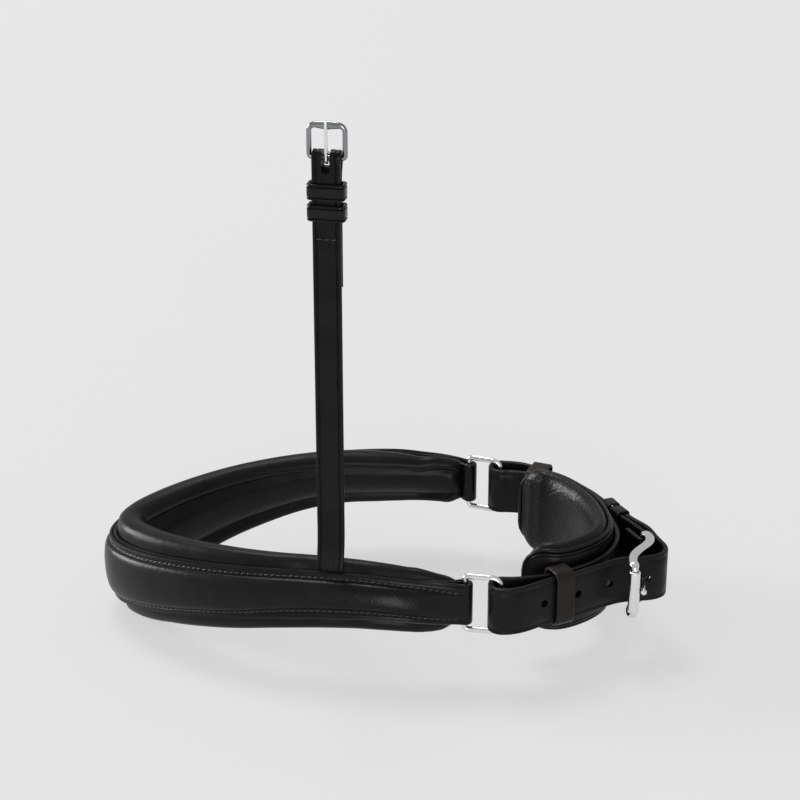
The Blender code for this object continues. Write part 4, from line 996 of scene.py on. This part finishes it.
for name, body, share in (
        ("crank_fixed_keeper", "crank", 0.2), ("crank_running_keeper", "crank_running_keeper", 0.305)):
    spot, way = run_spot(far_run, share)
    low = CRANK_THICK / 2 + CLEAR
    high = low + CRANK_THICK + 2 * CLEAR
    round_points = box_round(spot, way, -low, high, CRANK_WIDTH / 2 + CLEAR, BAND_THICK)
    keeper(name + "_band", round_points, way, BAND_WIDTH, BAND_THICK, band_leather, body,
           name)

# %% Chin pad's keepers
KEEPER_WIDTH = 9.6 * MM
KEEPER_THICK = 1.2 * MM
chin_line = smooth_line([place(share) for share in CHIN_PAD], 201)


def gap_to(line, spot, side):
    """How far a line passes from a place, to the right of the way along."""
    offsets = np.array(line) - spot[:2]
    across = offsets @ side[:2]
    beside = np.abs(offsets @ np.array([-side[1], side[0]]))
    return float(across[int(np.argmin(beside + np.abs(across) * 0.05))])


outer_runs = {"near": smooth_line(near_run, 201)[:90], "far": smooth_line(far_run, 201)[70:]}
for name, share, inner_room, outer_room, corner in (
        ("near", 0.115, 3.3 * MM, 1.0 * MM, 3.6 * MM), ("far", 0.945, 2.2 * MM, 2.2 * MM, 2.6 * MM)):
    spot, way = run_spot(inner_run[::-1], share)
    side = np.cross(way, UP)
    low = gap_to(chin_line, spot, side) + KEEPER_THICK + inner_room
    high = gap_to(outer_runs[name], spot, side) + CRANK_THICK / 2 + outer_room
    round_points = box_round(spot, way, low, high, CRANK_WIDTH / 2 + 0.8 * MM, KEEPER_THICK, corner)
    keeper(f"chin_keeper_{name}_band", round_points, way, KEEPER_WIDTH, KEEPER_THICK, keeper_leather,
           "chin_pad", f"chin_keeper_{name}")

# %% [markdown]
# ## Chin pad
#
# The chin pad is a bag of soft leather over foam, sewn to a firm back panel with piping between.
# It swells to a crowned pillow and pulls in along the piping.

# %% Chin pad
CHIN_HEIGHT = 43 * MM
CHIN_MIDDLE = RING_RISE - 3 * MM
CHIN_THICK = 10.2 * MM
CHIN_BACK = 1.5 * MM
CHIN_CORNER = 13 * MM
PANEL_CREASE = 1.6 * MM
PIPING = 1.1 * MM
CHIN_LENGTH = float(lengths_along(chin_line)[-1])
CORNER_STEPS = (0, 0.02, 0.06, 0.12, 0.2, 0.3, 0.42, 0.56, 0.72, 0.88)
CHIN_HALF = [
    (0.0, 0.0), (0.5, 0.0), (0.9, 0.0), (1.02, 0.08), (1.11, 0.20), (1.165, 0.35), (1.17, 0.50),
    (1.12, 0.66), (1.02, 0.80), (0.87, 0.91), (0.66, 0.98), (0.36, 1.03), (0.0, 1.05)]


def chin_frames(end_gap):
    """Stations along the pad from near to far, close together where its corners round."""
    start = end_gap / CHIN_LENGTH
    corner = CHIN_CORNER / CHIN_LENGTH
    near = [corner * step for step in CORNER_STEPS]
    middle = np.linspace(corner * 1.05, 1 - corner * 1.05, 70)
    shares = np.concatenate([near, middle, [1 - share for share in near[::-1]]])
    shares = start + shares * (1 - 2 * start)
    line = read_off(shares, np.linspace(0, 1, len(chin_line)), chin_line)
    return plan_frames(line, CHIN_MIDDLE), [(min(s, 1 - s) - start) * CHIN_LENGTH for s in shares]


def rounded_half(half, corner, distance):
    short = max(corner - distance, 0)
    return half - corner + max(corner ** 2 - short ** 2, 0) ** 0.5


edge = 2 * PIPING - 0.3 * MM  # the cord sits a little into the panel and the cushion
panel_half = CHIN_HEIGHT / 2 - edge
panel_corner = CHIN_CORNER - edge
chin_stations, chin_distances = chin_frames(edge)


def back_section(k):
    height = 2 * rounded_half(panel_half, panel_corner, chin_distances[k])
    return [(a, b - CHIN_BACK / 2) for a, b in strap_section(height, CHIN_BACK, PANEL_CREASE)]


def chin_section(k):
    distance = chin_distances[k]
    height = rounded_half(panel_half, panel_corner, distance)
    thick = CHIN_THICK * grown(0.62, distance, 16 * MM) * grown(0.45, distance + 0.4 * MM, 5 * MM)
    return mirrored([(a * height, -CHIN_BACK - CLEAR - b * thick) for a, b in CHIN_HALF])


chin_back = laid("chin_pad_back_panel", chin_stations, back_section)
dress(chin_back, black_leather, "chin_pad")
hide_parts("chin_pad_back")
chin_pad = laid("chin_pad_cushion", chin_stations, chin_section, smooth_angle=60)
dress(chin_pad, chin_leather, "chin_pad")
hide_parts("chin_pad_liner", "chin_pad_foam")

# %% Chin pad piping
piping_frames, _ = chin_frames(PIPING)
origins = np.array([f.origin for f in piping_frames])
outs = np.array([f.out for f in piping_frames])
piping_along = lengths_along(origins)
half_length = piping_along[-1] / 2
box = rounded_box(half_length, CHIN_HEIGHT / 2 - PIPING, [CHIN_CORNER - PIPING] * 4)
points, normals = [], []
for x, y in divided(box, 2.5 * MM):
    origin = read_off(x + half_length, piping_along, origins)
    out = unit(read_off(x + half_length, piping_along, outs))
    points.append(origin + y * UP - (CHIN_BACK + CLEAR / 2) * out)
    normals.append(out)
piping = laid(
    "chin_pad_piping_cord", loop_frames(points, normals), lambda k: wire_section(PIPING, PIPING, 12),
    closed=True, smooth_angle=60)
dress(piping, black_leather, "chin_pad")
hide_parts("chin_pad_piping")

# %% [markdown]
# ## Hanger strap
#
# The hanger is sewn in behind the cover, stands up straight, turns round the bar of its buckle
# and lies back along itself to a thinned end. One row of stitches across holds it there, and two
# more follow the sides of the turned-back end. A slot at the fold lets the tongue through. It is
# cut in two goes, a longer one through the front and a shorter one through the turned-back
# leather, and the two cutters overlap, since faces that only touch leave slivers.

# %% Hanger strap
HANGER_WIDTH = 13 * MM
HANGER_THICK = 2.2 * MM
TAB_THICK = 1.3 * MM
TAB_MID = STRAP_MID - NOSE_STRAP_THICK / 2 - 2 * CLEAR - TAB_THICK / 2
HANGER_WIRE = 1.15 * MM
HANGER_EYE = HANGER_WIRE + CLEAR + HANGER_THICK / 2
HANGER_TURNBACK = 59 * MM
HANGER_CLOSE = 9 * MM
HANGER_THINNED = 8 * MM
HANGER_TOP = 213 * MM  # from the nose tip up to the bar of the buckle
TAB_DEPTH = 6 * MM
TAB_RISE = 11.8 * MM
TAB_BEND = 18 * MM
base = nose_station(1 - TAB_PLACE / NOSE_LENGTH)
level_out = unit(in_plan(base.out))
level_across = np.cross(UP, level_out)
lean = atan2(base.out[2], np.dot(base.out, level_out))
bend_start = base.origin + TAB_RISE * base.up + TAB_MID * base.out
bend_radius = TAB_BEND / lean
straight = bend_start - level_out * bend_radius * (1 - cos(lean)) + UP * bend_radius * sin(lean)
hanger_heel = in_plan(straight[:2], HANGER_TOP) - HANGER_EYE * level_out
frames, thicks = [], []
for rise in np.linspace(-TAB_DEPTH, TAB_RISE, 9):
    frames.append(Station(base.origin + rise * base.up + TAB_MID * base.out, level_across, base.out))
    thicks.append(TAB_THICK)
for share in np.linspace(0.1, 1, 10):
    angle = lean * (1 - share)
    point = straight + level_out * bend_radius * (1 - cos(angle)) - UP * bend_radius * sin(angle)
    frames.append(Station(point, level_across, cos(angle) * level_out + sin(angle) * UP))
    thicks.append(TAB_THICK + (HANGER_THICK - TAB_THICK) * ease(share))
front = hanger_heel + HANGER_EYE * level_out
for height in np.linspace(straight[2], hanger_heel[2], 60)[1:-1]:
    frames.append(Station(in_plan(front[:2], height), level_across, level_out))
for turn in np.linspace(0, pi, 16):
    way = cos(turn) * level_out + sin(turn) * UP
    frames.append(Station(hanger_heel + HANGER_EYE * way, level_across, way))
closed_gap = HANGER_THICK + CLEAR - HANGER_EYE
closing = np.linspace(0.1, 1, 9) * HANGER_CLOSE
closed = np.linspace(12 * MM, HANGER_TURNBACK - HANGER_THINNED, 12)
for drop in [*closing, *closed]:
    offset = HANGER_EYE + (closed_gap - HANGER_EYE) * ease(drop / HANGER_CLOSE)
    frames.append(Station(hanger_heel - offset * level_out - drop * UP, level_across, -level_out))
thicks += [HANGER_THICK] * (len(frames) - len(thicks))
for drop in np.linspace(HANGER_TURNBACK - 6 * MM, HANGER_TURNBACK, 5):
    frames.append(Station(hanger_heel - closed_gap * level_out - drop * UP, level_across, -level_out))
    thicks.append(HANGER_THICK * (0.5 + 0.5 * (HANGER_TURNBACK - drop) / HANGER_THINNED))
hanger = laid(
    "hanger_strap_leather", frames,
    lambda k: strap_section(HANGER_WIDTH, thicks[k], edge=2.0 * MM, groove=0.4 * MM))

# %% Hanger slot
SLOT_WIDTH = 3.6 * MM
SLOT_TOP = 4.6 * MM
for lower, inner, outer in ((-4.2 * MM, -7 * MM, 0.5 * MM), (-6.4 * MM, -0.1 * MM, 7 * MM)):
    cutter = fresh(bpy.ops.mesh.primitive_cube_add, size=1)
    flat = points_of(cutter)
    middle = hanger_heel + NOSE_TIP + UP * (SLOT_TOP + lower) / 2 + level_out * (inner + outer) / 2
    slot_places = middle + flat[:, :1] * SLOT_WIDTH * level_across
    slot_places += flat[:, 1:2] * (SLOT_TOP - lower) * UP + flat[:, 2:] * (outer - inner) * level_out
    cut_away(hanger, cutter, slot_places)
bpy.ops.object.shade_smooth_by_angle(angle=radians(40))
dress(hanger, strap_leather, "noseband")
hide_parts("hanger_strap")

# %% Hanger keepers
HANGER_KEEPER_WIDTH = 7.4 * MM
HANGER_KEEPER_THICK = 1.5 * MM
HANGER_KEEPER_ROOM = 0.7 * MM
low = -1.5 * HANGER_THICK - 2 * CLEAR
high = HANGER_THICK / 2 + 0.1 * MM + CLEAR
half_depth = (high - low + HANGER_KEEPER_THICK) / 2
half_across = HANGER_WIDTH / 2 + HANGER_KEEPER_ROOM + HANGER_KEEPER_THICK / 2
for name, body, drop in (
        ("hanger_fixed_keeper", "noseband", 14.6 * MM),
        ("hanger_running_keeper", "hanger_running_keeper", 24.2 * MM)):
    middle = hanger_heel + (HANGER_EYE + (high + low) / 2) * level_out - drop * UP
    box = divided(rounded_box(half_depth, half_across, [1.6 * MM] * 4), 2.5 * MM)
    round_points = [middle + x * level_out + y * level_across for x, y in box]
    keeper(name + "_band", round_points, UP, HANGER_KEEPER_WIDTH, HANGER_KEEPER_THICK, band_leather,
           body, name, 0.6 * MM)

# %% Hanger stitches
CROSS_ROW_DROP = 36.4 * MM
CROSS_ROW_HALF = 4.8 * MM
SIDE_ROW_ACROSS = 4.4 * MM
side_drops = np.linspace(38 * MM, HANGER_TURNBACK - 2.5 * MM, 9)
for name, sign, depth in (("back", -1, closed_gap), ("front", 1, HANGER_EYE)):
    out = sign * level_out
    face = hanger_heel + (depth + HANGER_THICK / 2 - 0.05 * MM) * out
    cross_places = np.linspace(-CROSS_ROW_HALF, CROSS_ROW_HALF, 9)
    rows = {"cross": [face + x * level_across - CROSS_ROW_DROP * UP for x in cross_places]}
    if name == "back":
        for label, side in (("left", -1), ("right", 1)):
            beside = face + side * SIDE_ROW_ACROSS * level_across
            rows[label] = [beside - drop * UP for drop in side_drops]
    for label, row in rows.items():
        stitches = stitch_row(f"hanger_stitches_{name}_{label}", row, [out] * len(row), 1.15)
        dress(stitches, thread_with_painted_glint, "noseband")

# %% [markdown]
# ## Hanger buckle
#
# A small frame with rounded upper corners carries a tongue that hooks round its heel bar. The
# upper bar thickens to a low peak in the middle, where the tongue rests.

# %% Hanger buckle
FRAME_WIDTH = 18.4 * MM
FRAME_LENGTH = 16.8 * MM
FRAME_CORNERS = (1.2 * MM, 1.2 * MM, 2.8 * MM, 2.8 * MM)
PEAK_DROP = 0.2 * MM
PEAK_GROWTH = 0.7
half_width = FRAME_WIDTH / 2 - HANGER_WIRE
buckle_half = FRAME_LENGTH / 2 - HANGER_WIRE
middle = hanger_heel + buckle_half * UP
box = divided(rounded_box(half_width, buckle_half, FRAME_CORNERS), 1.2 * MM)
peaks = [max(0.0, 1 - abs(x) / half_width) if y > buckle_half * 0.9 else 0.0 for x, y in box]
places = [middle + x * level_across + (y - PEAK_DROP * p) * UP for (x, y), p in zip(box, peaks)]
frames = loop_frames(places, [level_out] * len(box))
hanger_buckle = laid(
    "hanger_buckle_bars", frames,
    lambda k: wire_section(HANGER_WIRE, HANGER_WIRE * (1 + PEAK_GROWTH * peaks[k])), closed=True)
dress(hanger_buckle, grey_steel, "hanger_buckle_frame")
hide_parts("hanger_buckle_frame")

# %% Hanger tongue
TONGUE_HALVES = (0.8 * MM, 0.75 * MM)
tongue_eye = HANGER_WIRE + CLEAR + TONGUE_HALVES[1]
frames = []
for turn in np.linspace(-1.4 * pi, 0, 24):
    way = cos(turn) * level_out + sin(turn) * UP
    frames.append(Station(hanger_heel + tongue_eye * way, level_across, way))
tongue_sizes = [1.0] * len(frames)
length = 2 * buckle_half + 2.3 * MM
foot = hanger_heel + tongue_eye * level_out
for share in np.linspace(0.06, 1, 16):
    frames.append(Station(foot + share * length * UP, level_across, level_out))
    tongue_sizes.append(1.0 if share < 0.9 else 0.95 - 3.2 * (share - 0.9))
tongue = laid(
    "hanger_tongue_wire", frames,
    lambda k: wire_section(TONGUE_HALVES[0] * tongue_sizes[k], TONGUE_HALVES[1] * tongue_sizes[k]))
dress(tongue, bright_steel, "hanger_tongue")
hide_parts("hanger_tongue")

# %% [markdown]
# ## Floor and light
#
# The background is a plain pale floor. Where the camera, a gloss or a see-through surface meets
# it, part of it is an even pale tone, so it stays pale all over and still keeps the shadow. A
# large soft box hangs above and behind, which puts the long soft streaks on the upper edges of
# the leather, one fills from the left, and a weak one lights the front. The world gives an even
# level.

# %% Floor
FLOOR_SIZE = 40
EVEN_TONE = 0.757
EVEN_PART = 0.68
floor = fresh(bpy.ops.mesh.primitive_grid_add, x_subdivisions=8, y_subdivisions=8, size=FLOOR_SIZE)
floor.name = "studio_floor"
floor_mat, nodes, links = new_material("studio_floor")
paper = nodes["Principled BSDF"]
paper.inputs["Roughness"].default_value = 0.9
paper.inputs["Specular IOR Level"].default_value = 0.1
fibre = add_node(nodes, "TexNoise", Scale=9)
links.new(add_node(nodes, "TexCoord").outputs["Object"], fibre.inputs["Vector"])
tone = add_tones(nodes, (0.75, 0.75, 0.75), (0.76, 0.76, 0.76))
links.new(fibre.outputs["Fac"], tone.inputs["Fac"])
links.new(tone.outputs["Color"], paper.inputs["Base Color"])
rays = add_node(nodes, "LightPath")
seen = rays.outputs["Is Camera Ray"]
for label in ("Is Glossy Ray", "Is Transmission Ray"):
    either = add_node(nodes, "Math")
    either.operation = "MAXIMUM"
    links.new(seen, either.inputs[0])
    links.new(rays.outputs[label], either.inputs[1])
    seen = either.outputs[0]
part = add_node(nodes, "Math")
part.operation = "MULTIPLY"
part.inputs[1].default_value = EVEN_PART
links.new(seen, part.inputs[0])
glow = add_node(nodes, "Emission", Color=(*[EVEN_TONE] * 3, 1))
blend = add_node(nodes, "MixShader")
links.new(part.outputs[0], blend.inputs["Fac"])
links.new(paper.outputs["BSDF"], blend.inputs[1])
links.new(glow.outputs["Emission"], blend.inputs[2])
links.new(blend.outputs["Shader"], nodes["Material Output"].inputs["Surface"])
floor.data.materials.append(floor_mat)
floor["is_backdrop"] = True
print("floor", FLOOR_SIZE, "m wide")

# %% Lights
LIGHT_TARGET = (0, 0, 0.05)


def soft_box(name, location, size, power):
    """A square area light at a place, turned to face the object."""
    way = np.array(LIGHT_TARGET) - np.array(location)
    level = float(np.linalg.norm(way[:2]))
    turn = (atan2(level, -way[2]), 0, atan2(way[1], way[0]) - pi / 2)
    bpy.ops.object.light_add(type="AREA", location=location, rotation=turn)
    lamp = bpy.context.object
    lamp.name = name
    lamp.data.size = size
    lamp.data.energy = power


soft_box("top_box", (-1.8, 3.2, 7.8), 3.0, 265)
soft_box("left_box", (-6.0, 1.4, 1.7), 2.6, 380)
soft_box("front_box", (0.3, -5.2, 1.4), 2.2, 80)
world = bpy.data.worlds.new("studio")
bpy.context.scene.world = world
world.use_nodes = True
sky = world.node_tree.nodes["Background"]
sky.inputs["Color"].default_value = (1, 1, 1, 1)
sky.inputs["Strength"].default_value = 0.50
bpy.context.scene.view_settings.view_transform = "Standard"

# %% Finish
low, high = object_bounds()
print("visual box", [round(v, 4) for v in low], [round(v, 4) for v in high])
